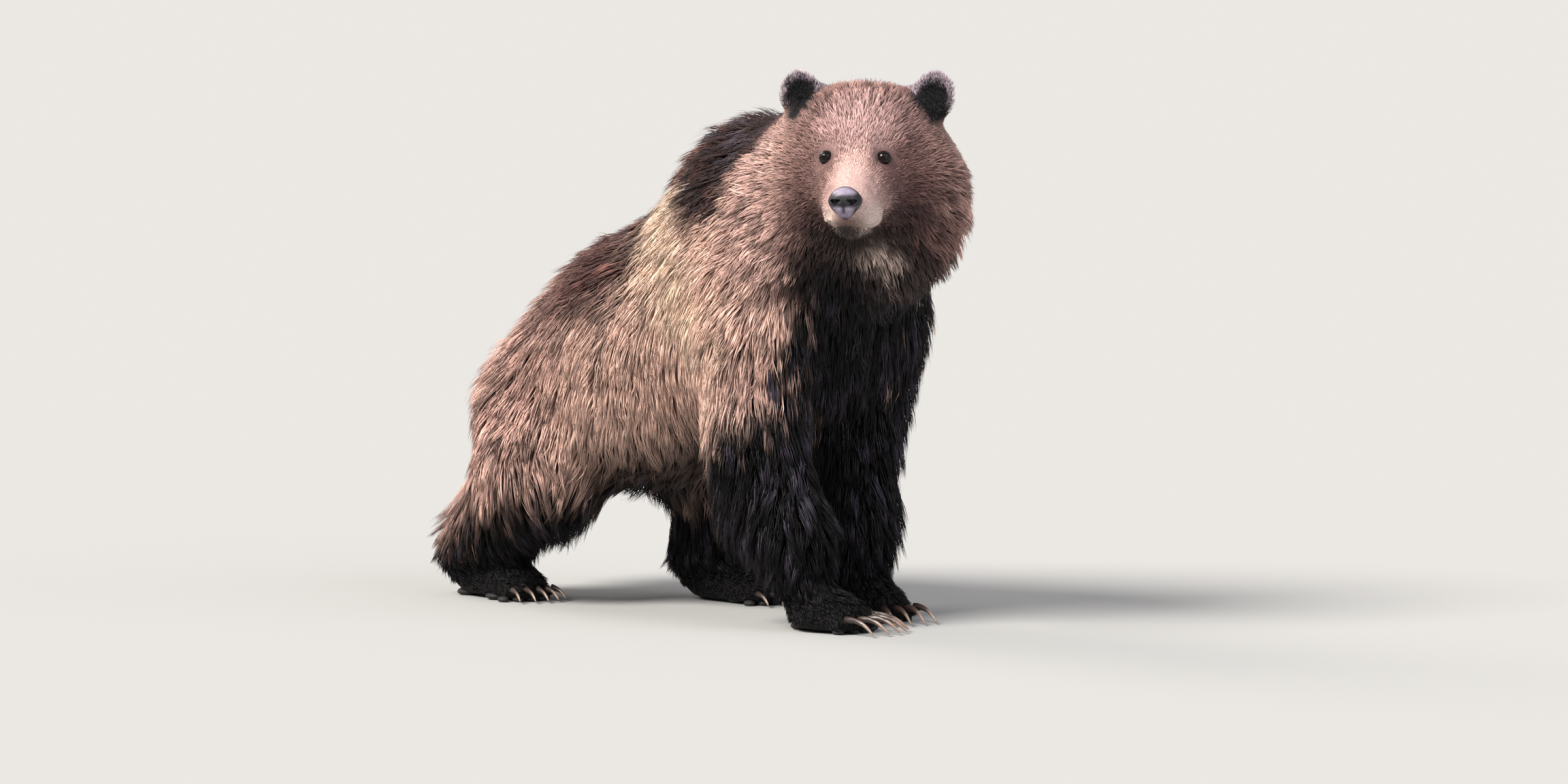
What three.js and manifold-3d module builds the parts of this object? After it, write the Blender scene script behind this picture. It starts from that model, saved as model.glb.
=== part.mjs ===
// A young grizzly bear, life size, as a still museum model. Millimetres, +Z up.
// The bear heads along +X with its left side towards +Y. It stands on four feet at floor level:
// forelegs straight under the shoulders with the paws close together, right hind leg set back,
// left hind leg stepping forward under the belly, rump low, and the head high and turned over
// the right shoulder. The origin is the middle of the floor under it.
//
// The body is one blended surface of muscle masses, out to the tips of the coat, parted into
// its named pieces by thin cuts. Ears, eyes, nose, tail and claws are pieces of their own, set
// into sockets in the pieces that they grow from.
import * as THREE from "three";
import { mergeVertices } from "three/addons/utils/BufferGeometryUtils.js";
import Module from "manifold-3d";

const wasm = await Module();
wasm.setup();

const V = (x, y, z) => new THREE.Vector3(x, y, z);
const degrees = THREE.MathUtils.degToRad;
const SIDES = { left: 1, right: -1 };

// ---------------------------------------------------------------- driving dimensions
const HUMP_HEIGHT = 938; // top of the shoulder hump
const BACK_HEIGHT = 734; // middle of the back
const RUMP_HEIGHT = 558;
const BELLY_HEIGHT = 240; // under the belly's fringe
const SKULL = V(536, -60, 890); // middle of the skull, between the ears
const HEAD_YAW = -48.5; // the face is turned to the bear's right
// cover: how deep the eyeball's front lies; opening: half-widths of the gap between the lids.
const EYES = { radius: 13.5, spacing: 104, drop: 21, cover: 4, opening: V(16, 15, 11) };
// bowl: half-widths of the ear's hollow, which lies bowlAhead and bowlUp from the ear's middle.
const EARS = {
  spacing: 238,
  height: 82,
  ahead: -4,
  lean: 18,
  radii: V(27, 44, 56),
  bowl: V(23, 28, 35),
  bowlAhead: 26,
  bowlUp: 8,
};
const NOSE = { reach: 268, drop: 98, radii: V(34, 33, 30), pitch: 12 };
const TAIL = { dock: V(-520, 0, 376), tip: V(-556, 0, 302), radii: [42, 27] };
const FORE_PAW = {
  width: 132,
  reach: 66,
  toe: V(30, 16, 22),
  claw: { length: 76, base: 8, tip: 1.6, bend: 62, lift: 12 },
};
const HIND_PAW = {
  width: 118,
  reach: 56,
  toe: V(26, 14, 19),
  claw: { length: 46, base: 7, tip: 1.6, bend: 60, lift: 5 },
};
const TOES = [-2, -1, 0, 1, 2]; // from the right of a paw to its left
const TOE_ARC = 4.5; // how far a toe beside the middle one stands back
const TOE_FAN = 5; // degrees between neighbouring toes
const TOE_SINK = 5; // how far a toe's underside is pressed flat
const CLAW_ROOT = { forward: 0.5, up: 0.55 }; // from a toe's middle, as shares of its half-widths
const CLAW_FLATNESS = 0.75; // a claw's width to its height

// Heights at which the legs are parted from the body and from their own lower pieces.
const PARTING = { paw: 92, shin: 188, forearm: 322, thigh: 400, upperArm: 520 };

const GAP = 0.3; // between neighbouring pieces
const MERGE = 0.02; // points closer than this are one
const CELL = { trunk: 58, neck: 50, head: 26, leg: 52, paw: 27, tail: 32, ear: 15, nose: 16, opening: 9 };
const ROOM = { tail: 300, ear: 150, nose: 110, opening: 60 }; // sides of the cubes that hold small pieces
const SETTLE = { reach: 0.35, leastSlope: 0.45 }; // a net point moves by at most this share of a cell

// ---------------------------------------------------------------- masses and fields
// A mass is a signed distance to its surface, and the length over which it melts into the rest.

// A limb: a round cone from a to b.
function limb(a, b, ra, rb, melt = 45) {
  const along = b.clone().sub(a);
  const distance = (p) => {
    const share = THREE.MathUtils.clamp(p.clone().sub(a).dot(along) / along.lengthSq(), 0, 1);
    const radius = THREE.MathUtils.lerp(ra, rb, share);
    return p.distanceTo(a.clone().addScaledVector(along, share)) - radius;
  };
  return { distance, melt };
}

// An egg with three half-widths, turned by yaw about Z after roll and then pitch, nose down.
function egg(centre, radii, { yaw = 0, pitch = 0, roll = 0, melt = 45 } = {}) {
  const euler = new THREE.Euler(degrees(roll), degrees(pitch), degrees(yaw), "ZYX");
  const turnBack = new THREE.Quaternion().setFromEuler(euler).invert();
  const distance = (p) => {
    const near = p.clone().sub(centre).applyQuaternion(turnBack).divide(radii);
    if (near.length() < 1e-6) return -Math.min(...radii.toArray());
    return (near.length() * (near.length() - 1)) / near.clone().divide(radii).length();
  };
  return { distance, melt };
}

// One field from many masses, each melted into those before it.
function blend(masses) {
  return (p) =>
    masses.reduce((field, { distance, melt }) => {
      const d = distance(p);
      const overlap = Math.max(melt - Math.abs(field - d), 0) / melt;
      return Math.min(field, d) - (overlap * overlap * melt) / 4;
    }, 1e6);
}

// A field with a second one hollowed out of it, the rim rounded over its melt.
function hollowed(field, { distance, melt }) {
  return (p) => {
    const [whole, hollow] = [field(p), -distance(p)];
    const overlap = Math.max(melt - Math.abs(whole - hollow), 0) / melt;
    return Math.max(whole, hollow) + (overlap * overlap * melt) / 4;
  };
}

// ---------------------------------------------------------------- trunk and neck
const bellyDepth = (BACK_HEIGHT - BELLY_HEIGHT) / 2;
const trunkMasses = [
  egg(V(225, 0, 605), V(250, 222, 262)), // chest
  egg(V(165, 0, HUMP_HEIGHT - 165), V(185, 118, 165), { pitch: -8, melt: 90 }), // shoulder hump
  egg(V(-95, 0, BACK_HEIGHT - bellyDepth), V(345, 248, bellyDepth), { pitch: -21, melt: 130 }), // belly
  egg(V(-362, 0, RUMP_HEIGHT - 166), V(208, 204, 138), { pitch: -38, melt: 110 }), // rump
  egg(V(300, 148, 590), V(135, 90, 215), { melt: 60 }), // left shoulder
  egg(V(308, -148, 590), V(135, 90, 215), { melt: 60 }), // right shoulder
];
const neckMasses = [
  limb(V(250, 0, 680), V(440, -20, 790), 222, 195, 90),
  egg(V(478, -20, 782), V(128, 205, 188), { yaw: HEAD_YAW, melt: 60 }), // ruff
];

// ---------------------------------------------------------------- head
// The head's own frame: u out of the face, v to its left, w up, from the middle of the skull.
const headTurn = new THREE.Quaternion().setFromAxisAngle(V(0, 0, 1), degrees(HEAD_YAW));
const H = (u, v, w) => V(u, v, w).applyQuaternion(headTurn).add(SKULL);
const headEgg = (centre, radii, options) => egg(centre, radii, { yaw: HEAD_YAW, ...options });
const onBothSides = (make) => Object.values(SIDES).map(make);

const headMasses = [
  headEgg(H(-6, 0, 2), V(112, 116, 102), { melt: 40 }), // cranium
  ...onBothSides((side) => headEgg(H(0, side * 50, 14), V(112, 78, 88), { melt: 40 })), // its flat top
  ...onBothSides((side) => headEgg(H(18, side * 78, -66), V(92, 94, 100), { melt: 40 })), // cheek fur
  ...onBothSides((side) => headEgg(H(96, side * 42, -60), V(74, 54, 64), { melt: 36 })), // cheekbones
  limb(H(60, 0, 24), H(150, 0, -62), 74, 54, 40), // forehead
  ...onBothSides((side) => headEgg(H(100, side * 46, 10), V(34, 34, 24), { melt: 26 })), // brows
  limb(H(120, 0, -72), H(236, 0, -108), 70, 50, 36), // muzzle
  ...onBothSides((side) => headEgg(H(222, side * 20, -121), V(48, 42, 32), { melt: 20 })), // upper lips
  limb(H(90, 0, -110), H(230, 0, -137), 60, 28, 24), // lower jaw
];

// ---------------------------------------------------------------- legs
// The joints of each leg, then the middle of its paw and the way that points.
const fore = {
  left: {
    shoulder: V(320, 134, 560),
    elbow: V(296, 118, 370),
    wrist: V(318, 104, 110),
    paw: V(374, 98, 0),
    yaw: -14,
  },
  right: {
    shoulder: V(330, -150, 560),
    elbow: V(335, -156, 370),
    wrist: V(422, -118, 110),
    paw: V(482, -102, 0),
    yaw: 18,
  },
};
const hind = {
  left: {
    hip: V(-280, 104, 368),
    knee: V(-92, 148, 284),
    ankle: V(-150, 132, 96),
    paw: V(-16, 136, 0),
    yaw: 4,
  },
  right: {
    hip: V(-340, -104, 348),
    knee: V(-282, -160, 262),
    ankle: V(-494, -158, 98),
    paw: V(-366, -162, 0),
    yaw: -4,
  },
};

// A point of a paw: forward, to its left and up from the middle of its sole.
const onPaw = ({ paw, yaw }, forward, left, up) =>
  V(forward, left, up).applyAxisAngle(V(0, 0, 1), degrees(yaw)).add(paw);

// The middle of each toe, on a shallow arc.
const toeAt = (leg, { width, toe, reach }, n) =>
  onPaw(leg, reach - TOE_ARC * n * n, (n * (width - 2 * toe.y)) / 4, toe.z - TOE_SINK);

const toeMasses = (leg, build) =>
  TOES.map((n) => egg(toeAt(leg, build, n), build.toe, { yaw: leg.yaw + TOE_FAN * n, melt: 8 }));

const foreMasses = (leg) => [
  limb(leg.shoulder, leg.elbow, 112, 98, 50),
  limb(leg.elbow, leg.elbow.clone().lerp(leg.wrist, 0.75), 98, 82, 40),
  limb(leg.elbow.clone().lerp(leg.wrist, 0.7), leg.wrist, 82, 66, 40),
  egg(leg.elbow.clone().add(V(-40, 0, -95)), V(66, 64, 135), { melt: 40 }), // fringe behind the forearm
  egg(onPaw(leg, -8, 0, 34), V(82, 62, 54), { yaw: leg.yaw, melt: 25 }), // palm
  ...toeMasses(leg, FORE_PAW),
];
const hindMasses = (leg) => [
  limb(leg.hip, leg.knee, 146, 128, 60),
  limb(leg.knee, leg.ankle, 122, 82, 50),
  egg(onPaw(leg, -88, 0, 36), V(88, 54, 56), { yaw: leg.yaw, melt: 30 }), // heel and instep
  egg(onPaw(leg, -2, 0, 28), V(76, 56, 48), { yaw: leg.yaw, melt: 25 }), // ball of the foot
  ...toeMasses(leg, HIND_PAW),
];

const body = blend([
  ...trunkMasses,
  ...neckMasses,
  ...headMasses,
  ...foreMasses(fore.left),
  ...foreMasses(fore.right),
  ...hindMasses(hind.left),
  ...hindMasses(hind.right),
]);

// How far out of the face the coat reaches, across and up from the middle of the skull, searched
// for between a depth inside the head and one well clear of the nose.
function faceAt(v, w) {
  let [inside, outside] = [60, 340];
  while (outside - inside > 0.1) {
    const middle = (inside + outside) / 2;
    if (body(H(middle, v, w)) < 0) inside = middle;
    else outside = middle;
  }
  return inside;
}

// ---------------------------------------------------------------- from field to solid
// The field's zero surface inside a box, as a net with one point for each cell that it crosses.
function surface(field, box, cell) {
  const count = box.getSize(V(0, 0, 0)).divideScalar(cell).ceil().addScalar(1);
  const step = [1, count.x, count.x * count.y];
  const at = (i, j, k) => V(box.min.x + i * cell, box.min.y + j * cell, box.min.z + k * cell);
  const index = (i, j, k) => i * step[0] + j * step[1] + k * step[2];
  const value = new Float64Array(count.x * count.y * count.z);
  for (let k = 0; k < count.z; k++)
    for (let j = 0; j < count.y; j++)
      for (let i = 0; i < count.x; i++) value[index(i, j, k)] = field(at(i, j, k));

  const corners = [0, 1, 2, 3, 4, 5, 6, 7].map((n) => [n & 1, (n >> 1) & 1, n >> 2]);
  const edges = corners.flatMap((a, m) =>
    [0, 1, 2].filter((axis) => !a[axis]).map((axis) => [m, m | (1 << axis)]),
  );
  const point = new Map();
  const positions = [];
  for (let k = 0; k < count.z - 1; k++)
    for (let j = 0; j < count.y - 1; j++)
      for (let i = 0; i < count.x - 1; i++) {
        const v = corners.map(([a, b, c]) => value[index(i + a, j + b, k + c)]);
        const crossed = edges.filter(([m, n]) => v[m] < 0 !== v[n] < 0);
        if (!crossed.length) continue;
        const p = V(0, 0, 0);
        for (const [m, n] of crossed) {
          const [a, b] = [m, n].map((c) => at(i + corners[c][0], j + corners[c][1], k + corners[c][2]));
          p.add(a.lerp(b, v[m] / (v[m] - v[n])));
        }
        p.divideScalar(crossed.length);
        point.set(index(i, j, k), positions.length / 3);
        positions.push(...settle(p, field, cell));
      }

  const faces = [];
  for (let k = 1; k < count.z - 1; k++)
    for (let j = 1; j < count.y - 1; j++)
      for (let i = 1; i < count.x - 1; i++)
        for (let axis = 0; axis < 3; axis++) {
          const here = index(i, j, k);
          const inside = value[here] < 0;
          if (inside === value[here + step[axis]] < 0) continue;
          const [b, c] = [step[(axis + 1) % 3], step[(axis + 2) % 3]];
          const ring = [here - b - c, here - c, here, here - b].map((cellIndex) => point.get(cellIndex));
          if (!inside) ring.reverse();
          faces.push(...quad(ring, positions));
        }
  const geometry = new THREE.BufferGeometry();
  geometry.setAttribute("position", new THREE.Float32BufferAttribute(positions, 3));
  geometry.setIndex(faces);
  return geometry;
}

// A quad as two triangles, split along its shorter diagonal.
function quad([a, b, c, d], positions) {
  const corner = (n) => V(...positions.slice(3 * n, 3 * n + 3));
  return corner(a).distanceTo(corner(c)) < corner(b).distanceTo(corner(d))
    ? [a, b, c, a, c, d]
    : [a, b, d, b, c, d];
}

// Moves a point on to the field's surface, by at most a part of its cell.
function settle(p, field, cell) {
  const start = p.clone();
  const probe = cell / 10;
  for (let turn = 0; turn < 3; turn++) {
    const slope = V(
      field(p.clone().add(V(probe, 0, 0))) - field(p.clone().sub(V(probe, 0, 0))),
      field(p.clone().add(V(0, probe, 0))) - field(p.clone().sub(V(0, probe, 0))),
      field(p.clone().add(V(0, 0, probe))) - field(p.clone().sub(V(0, 0, probe))),
    ).divideScalar(2 * probe);
    p.addScaledVector(slope, -field(p) / Math.max(slope.lengthSq(), SETTLE.leastSlope ** 2));
  }
  const moved = p.sub(start).clampLength(0, cell * SETTLE.reach);
  return start.add(moved).toArray();
}

// A closed geometry with only its shared points left.
function welded(geometry) {
  const plain = geometry.clone();
  plain.deleteAttribute("normal");
  plain.deleteAttribute("uv");
  return mergeVertices(plain, 1e-3);
}

function solid(geometry) {
  const { attributes, index } = welded(geometry);
  const vertProperties = attributes.position.array;
  const triVerts = new Uint32Array(index.array);
  return new wasm.Manifold(new wasm.Mesh({ numProp: 3, vertProperties, triVerts }));
}

// The geometry of a cut solid. Points that a cut leaves almost on top of each other become one.
function geometryOf(made) {
  const { vertProperties, triVerts } = made.getMesh();
  const cut = new THREE.BufferGeometry();
  cut.setAttribute("position", new THREE.BufferAttribute(vertProperties, 3));
  cut.setIndex(new THREE.BufferAttribute(triVerts, 1));
  const geometry = mergeVertices(cut, MERGE);
  const { array } = geometry.index;
  const faces = [];
  for (let n = 0; n < array.length; n += 3) {
    const face = Array.from(array.subarray(n, n + 3));
    if (new Set(face).size === 3) faces.push(...face);
  }
  geometry.setIndex(faces);
  geometry.computeVertexNormals();
  return geometry;
}

// A piece's own surface moved out by the gap, to cut its neighbour with.
function grown(geometry) {
  const plain = welded(geometry);
  plain.computeVertexNormals();
  const { position, normal } = plain.attributes;
  for (let n = 0; n < position.count; n++) {
    const out = V(0, 0, 0).fromBufferAttribute(normal, n).multiplyScalar(1.5 * GAP);
    position.setXYZ(n, ...V(0, 0, 0).fromBufferAttribute(position, n).add(out).toArray());
  }
  return solid(plain);
}

// ---------------------------------------------------------------- where the body is parted
const BODY_BOX = new THREE.Box3(V(-720, -420, -80), V(900, 420, 1140));

// A cutting block, from its centre, its full size and its turn in degrees.
function block(centre, size, turn = [0, 0, 0]) {
  const rotation = new THREE.Quaternion().setFromEuler(new THREE.Euler(...turn.map(degrees), "ZYX"));
  const toBlock = new THREE.Matrix4().compose(centre, rotation, V(1, 1, 1));
  const back = toBlock.clone().invert();
  const half = size.clone().multiplyScalar(0.5);
  const shape = (grown) =>
    solid(new THREE.BoxGeometry(...size.clone().addScalar(2 * grown).toArray()).applyMatrix4(toBlock));
  const distance = (p) => {
    const q = p.clone().applyMatrix4(back);
    return Math.max(Math.abs(q.x) - half.x, Math.abs(q.y) - half.y, Math.abs(q.z) - half.z);
  };
  const bounds = (margin) =>
    new THREE.Box3(half.clone().negate(), half.clone())
      .applyMatrix4(toBlock)
      .expandByScalar(margin)
      .intersect(BODY_BOX);
  return { shape, distance, bounds };
}

// A block from its lowest to its highest corner.
const crate = (low, high) => block(low.clone().add(high).multiplyScalar(0.5), high.clone().sub(low));

// All that lies ahead of a plane through a point, tipped back by a pitch and turned by a yaw.
function ahead(point, pitch, yaw) {
  const [length, width, height] = [840, 900, 1000];
  const forward = V(length / 2, 0, 0).applyEuler(new THREE.Euler(0, degrees(pitch), degrees(yaw), "ZYX"));
  return block(forward.add(point), V(length, width, height), [0, pitch, yaw]);
}

const FLOOR = crate(V(-1000, -1000, -500), V(1000, 1000, 0)).shape(0);

// A block on the bear's left, or its mirror image on the right.
const legSide = (low, high, side) =>
  side > 0 ? crate(low, high) : crate(V(low.x, -high.y, low.z), V(high.x, -low.y, high.z));

// What is parted off, in this order: each region takes what those before it have left.
const regions = [
  ["head", ahead(H(-23, 0, -9), -21, HEAD_YAW), CELL.head],
  ["neck", ahead(V(395, -10, 775), -36, -20), CELL.neck],
];
for (const [name, side] of Object.entries(SIDES)) {
  const [front, rear] = [fore[name], hind[name]];
  regions.push(
    [
      `fore_paw_${name}`,
      legSide(V(front.paw.x - 150, GAP, -100), V(560, 250, PARTING.paw), side),
      CELL.paw,
    ],
    [`forearm_${name}`, legSide(V(190, GAP, PARTING.paw), V(560, 400, PARTING.forearm), side), CELL.leg],
    [
      `upper_arm_${name}`,
      legSide(V(190, 62, PARTING.forearm), V(560, 400, PARTING.upperArm), side),
      CELL.leg,
    ],
    [
      `hind_paw_${name}`,
      legSide(V(rear.paw.x - 220, 30, -100), V(rear.paw.x + 100, 300, PARTING.paw), side),
      CELL.paw,
    ],
    [
      `shin_${name}`,
      legSide(V(rear.paw.x - 280, 30, PARTING.paw), V(rear.paw.x + 200, 400, PARTING.shin), side),
      CELL.leg,
    ],
    [
      `thigh_${name}`,
      legSide(V(rear.hip.x - 230, 62, PARTING.shin), V(rear.knee.x + 130, 400, PARTING.thigh), side),
      CELL.leg,
    ],
  );
}

// ---------------------------------------------------------------- ears, eyes, nose, tail, claws
const around = (middle, size) => new THREE.Box3().setFromCenterAndSize(middle, V(size, size, size));

function ear(side) {
  const turned = { yaw: HEAD_YAW, roll: -side * EARS.lean };
  const across = (side * EARS.spacing) / 2;
  const bowlMiddle = H(EARS.ahead + EARS.bowlAhead, across, EARS.height + EARS.bowlUp);
  const bowl = egg(bowlMiddle, EARS.bowl, { ...turned, melt: 6 });
  const middle = H(EARS.ahead, across, EARS.height);
  const field = hollowed(egg(middle, EARS.radii, turned).distance, bowl);
  return surface(field, around(middle, ROOM.ear), CELL.ear);
}

function eye(side) {
  const across = (side * EYES.spacing) / 2;
  const depth = faceAt(across, -EYES.drop) - EYES.cover - EYES.radius;
  return new THREE.SphereGeometry(EYES.radius, 9, 6).translate(...H(depth, across, -EYES.drop).toArray());
}

// The opening between the lids in front of an eye.
function eyeOpening(side) {
  const across = (side * EYES.spacing) / 2;
  const front = H(faceAt(across, -EYES.drop), across, -EYES.drop);
  return solid(surface(headEgg(front, EYES.opening).distance, around(front, ROOM.opening), CELL.opening));
}

function nose() {
  const middle = H(NOSE.reach, 0, -NOSE.drop);
  const pad = headEgg(middle, NOSE.radii, { pitch: NOSE.pitch });
  return surface(pad.distance, around(middle, ROOM.nose), CELL.nose);
}

function tail() {
  return surface(limb(TAIL.dock, TAIL.tip, ...TAIL.radii).distance, around(TAIL.dock, ROOM.tail), CELL.tail);
}

// A claw, bent evenly from its root, tapering to a blunt tip. It starts along +X.
function claw({ length, base, tip, bend }) {
  const geometry = new THREE.CylinderGeometry(tip, base, length, 4, 3).toNonIndexed();
  const { position } = geometry.attributes;
  const radius = length / degrees(bend);
  for (let n = 0; n < position.count; n++) {
    const angle = degrees(bend) * (position.getY(n) / length + 0.5);
    const [across, out] = [-position.getX(n) * CLAW_FLATNESS, radius + position.getZ(n)];
    position.setXYZ(n, out * Math.sin(angle), across, out * Math.cos(angle) - radius);
  }
  return geometry;
}

// A claw grows out of the front of its toe, a little above the toe's middle.
function clawOn(leg, build, n) {
  const { toe } = build;
  const outward = onPaw(leg, toe.x * CLAW_ROOT.forward, 0, toe.z * CLAW_ROOT.up).sub(leg.paw);
  const root = toeAt(leg, build, n).add(outward);
  return claw(build.claw)
    .rotateY(-degrees(build.claw.lift))
    .rotateZ(degrees(leg.yaw + TOE_FAN * n))
    .translate(...root.toArray());
}

// ---------------------------------------------------------------- the bear
const coat = (color) => new THREE.MeshStandardMaterial({ color, roughness: 0.9 });
const finishes = {
  back: coat(0x5b4638),
  face: coat(0x7a6152),
  leg: coat(0x2a2124),
  ear: coat(0x2c2427),
  horn: new THREE.MeshStandardMaterial({ color: 0x6a5548, roughness: 0.45 }),
  nose: new THREE.MeshStandardMaterial({ color: 0x2b2c33, roughness: 0.4 }),
  eye: new THREE.MeshStandardMaterial({ color: 0x120c09, roughness: 0.08 }),
};

const bear = new THREE.Group();
bear.name = "grizzly_bear";
function add(name, geometry, material) {
  const mesh = new THREE.Mesh(geometry, material);
  mesh.name = name;
  bear.add(mesh);
}

// The part of the body in a block, netted at its own cell size, less what was parted off before.
const made = {};
const partedOff = [];
for (const [name, region, cell] of regions) {
  const field = (p) => Math.max(body(p), region.distance(p) - cell);
  const inside = solid(surface(field, region.bounds(2 * cell), cell)).intersect(region.shape(0));
  made[name] = partedOff.reduce((left, earlier) => left.subtract(earlier.shape(GAP)), inside);
  if (name.includes("paw")) made[name] = made[name].subtract(FLOOR);
  partedOff.push(region);
}
made.trunk = partedOff.reduce(
  (left, region) => left.subtract(region.shape(GAP)),
  solid(surface(body, BODY_BOX, CELL.trunk)),
);

// The eyes lie in sockets, with an opening between the lids.
for (const [name, side] of Object.entries(SIDES)) {
  made.head = made.head.subtract(grown(eye(side))).subtract(eyeOpening(side));
  add(`eye_${name}`, eye(side), finishes.eye);
}
const finishOf = { head: finishes.face, neck: finishes.back, trunk: finishes.back };
for (const [name, whole] of Object.entries(made)) {
  add(name, geometryOf(whole), finishOf[name] ?? finishes.leg);
}

// What grows out of the body is cut to fit the piece that it grows from.
function addGrowth(name, geometry, holder, material) {
  add(name, geometryOf(solid(geometry).subtract(grown(geometryOf(made[holder])))), material);
}
for (const [name, side] of Object.entries(SIDES)) {
  addGrowth(`ear_${name}`, ear(side), "head", finishes.ear);
  for (const [index, n] of TOES.entries()) {
    const [front, rear] = [clawOn(fore[name], FORE_PAW, n), clawOn(hind[name], HIND_PAW, n)];
    addGrowth(`fore_claw_${name}_${index + 1}`, front, `fore_paw_${name}`, finishes.horn);
    addGrowth(`hind_claw_${name}_${index + 1}`, rear, `hind_paw_${name}`, finishes.horn);
  }
}
addGrowth("nose", nose(), "head", finishes.nose);
addGrowth("tail", tail(), "trunk", finishes.back);

// The middle of the floor under the bear is the origin.
const middle = new THREE.Box3().setFromObject(bear).getCenter(V(0, 0, 0));
bear.position.set(-middle.x, -middle.y, 0);

export default bear;
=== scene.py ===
import math

import bmesh
import bpy
import numpy as np
from mathutils import Matrix, Vector, bvhtree, kdtree


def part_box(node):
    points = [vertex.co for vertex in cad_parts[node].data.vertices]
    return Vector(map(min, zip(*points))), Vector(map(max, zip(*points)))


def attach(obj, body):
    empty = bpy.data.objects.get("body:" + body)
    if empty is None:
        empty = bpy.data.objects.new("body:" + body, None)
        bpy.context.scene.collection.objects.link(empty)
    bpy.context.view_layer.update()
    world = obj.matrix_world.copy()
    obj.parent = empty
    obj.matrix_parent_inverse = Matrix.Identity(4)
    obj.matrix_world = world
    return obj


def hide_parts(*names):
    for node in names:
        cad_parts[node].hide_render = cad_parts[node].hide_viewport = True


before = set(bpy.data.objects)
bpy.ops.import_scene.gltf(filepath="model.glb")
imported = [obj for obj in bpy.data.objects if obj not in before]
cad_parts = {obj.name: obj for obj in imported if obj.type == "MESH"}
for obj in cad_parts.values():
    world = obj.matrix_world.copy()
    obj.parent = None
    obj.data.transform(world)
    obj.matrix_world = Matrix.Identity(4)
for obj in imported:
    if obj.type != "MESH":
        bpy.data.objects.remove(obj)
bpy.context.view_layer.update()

# ---- camera
# A long lens at chest height, from the bear's front right quarter. The right fore paw stands at
# PAW_PIXEL of a 2400 x 1200 picture in which a metre at the bear is PIXELS_PER_METRE wide.
AZIMUTH = math.radians(50)
ELEVATION = math.radians(4)
DISTANCE = 14.3
PICTURE = (2400, 1200)
PIXELS_PER_METRE = 840
PAW_PIXEL = (1255, 965)
SENSOR = 36  # its width in millimetres
FAR_END = 400  # beyond the far edge of the floor


def new_object(name, data):
    """A new object in the scene, made of the given data."""
    made = bpy.data.objects.new(name, data)
    bpy.context.scene.collection.objects.link(made)
    return made


towards_camera = Vector(
    (math.sin(AZIMUTH) * math.cos(ELEVATION), -math.cos(AZIMUTH) * math.cos(ELEVATION), math.sin(ELEVATION))
)
camera_right = Vector((math.cos(AZIMUTH), math.sin(AZIMUTH), 0))
camera_up = towards_camera.cross(camera_right)
paw_low, paw_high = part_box("fore_paw_right")
paw_middle = (paw_low + paw_high) / 2
paw_middle.z = 0
aim = paw_middle + camera_right * (PICTURE[0] / 2 - PAW_PIXEL[0]) / PIXELS_PER_METRE
aim += camera_up * (PAW_PIXEL[1] - PICTURE[1] / 2) / PIXELS_PER_METRE

camera_data = bpy.data.cameras.new("camera")
camera_data.sensor_width = SENSOR
camera_data.lens = SENSOR * DISTANCE * PIXELS_PER_METRE / PICTURE[0]
camera_data.clip_end = FAR_END
camera = new_object("camera", camera_data)
camera.matrix_world = Matrix.Translation(aim + towards_camera * DISTANCE) @ Matrix(
    (camera_right, camera_up, towards_camera)
).transposed().to_4x4()
bpy.context.scene.camera = camera

# ---- floor and light
# A plain pale studio floor that runs out to the pale surroundings. Wide, even lamps light it all
# alike: the key from high in front of the bear's right side, a weak fill and a rim from behind.
FLOOR_RADIUS = 160


def linear(colour):
    """An sRGB hex colour as linear red, green and blue, with an alpha of 1."""
    channels = [((colour >> shift) & 255) / 255 for shift in (16, 8, 0)]
    curve = [c / 12.92 if c <= 0.04045 else ((c + 0.055) / 1.055) ** 2.4 for c in channels]
    return (*curve, 1.0)


def set_inputs(node, inputs):
    """Sets a node's inputs, each to a value or linked from a socket or a node's first output."""
    for name, value in inputs.items():
        if isinstance(value, bpy.types.Node):
            value = value.outputs[0]
        if isinstance(value, bpy.types.NodeSocket):
            node.id_data.links.new(value, node.inputs[name])
        else:
            node.inputs[name].default_value = value


def add_node(tree, kind, inputs, **settings):
    """Adds a shader node with its settings and inputs."""
    made = tree.nodes.new("ShaderNode" + kind)
    for name, value in settings.items():
        setattr(made, name, value)
    set_inputs(made, inputs)
    return made


def material(name):
    """A new material with its principled shader, and the tree to add nodes to."""
    made = bpy.data.materials.new(name)
    made.use_nodes = True
    return made, made.node_tree, made.node_tree.nodes["Principled BSDF"]


# Matt vinyl sheet: even and pale, with no gloss to mirror the bear.
floor_finish, _, floor_shader = material("matt_vinyl")
set_inputs(floor_shader, {"Base Color": linear(0xA3A3A1), "Roughness": 0.75, "Specular IOR Level": 0.0})

bpy.ops.object.select_all(action="DESELECT")
bpy.ops.mesh.primitive_circle_add(vertices=96, radius=FLOOR_RADIUS, fill_type="NGON", location=(0, 0, 0))
floor = bpy.context.object
floor.name = "floor"
floor.data.materials.append(floor_finish)

surroundings = bpy.data.worlds.new("surroundings")
surroundings.use_nodes = True
set_inputs(surroundings.node_tree.nodes["Background"], {"Color": linear(0xEEF1F8), "Strength": 0.52})
bpy.context.scene.world = surroundings
bpy.context.scene.view_settings.view_transform = "Standard"


def lamp(name, towards, spread, strength, colour):
    """A studio lamp in the given direction from the bear, so wide and far that it lights evenly."""
    data = bpy.data.lights.new(name, "SUN")
    data.angle = math.radians(spread)
    data.energy = strength
    data.color = linear(colour)[:3]
    light = new_object(name, data)
    light.matrix_world = Vector(towards).to_track_quat("Z", "Y").to_matrix().to_4x4()


lamp("key", (-0.05, -0.75, 0.72), 28, 6.3, 0xFFFAF4)
lamp("fill", (0.90, 0.15, 0.35), 60, 1.7, 0xF4F4FF)
lamp("rim", (-0.80, -0.10, 0.60), 30, 1.4, 0xFFF6F0)

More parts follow.
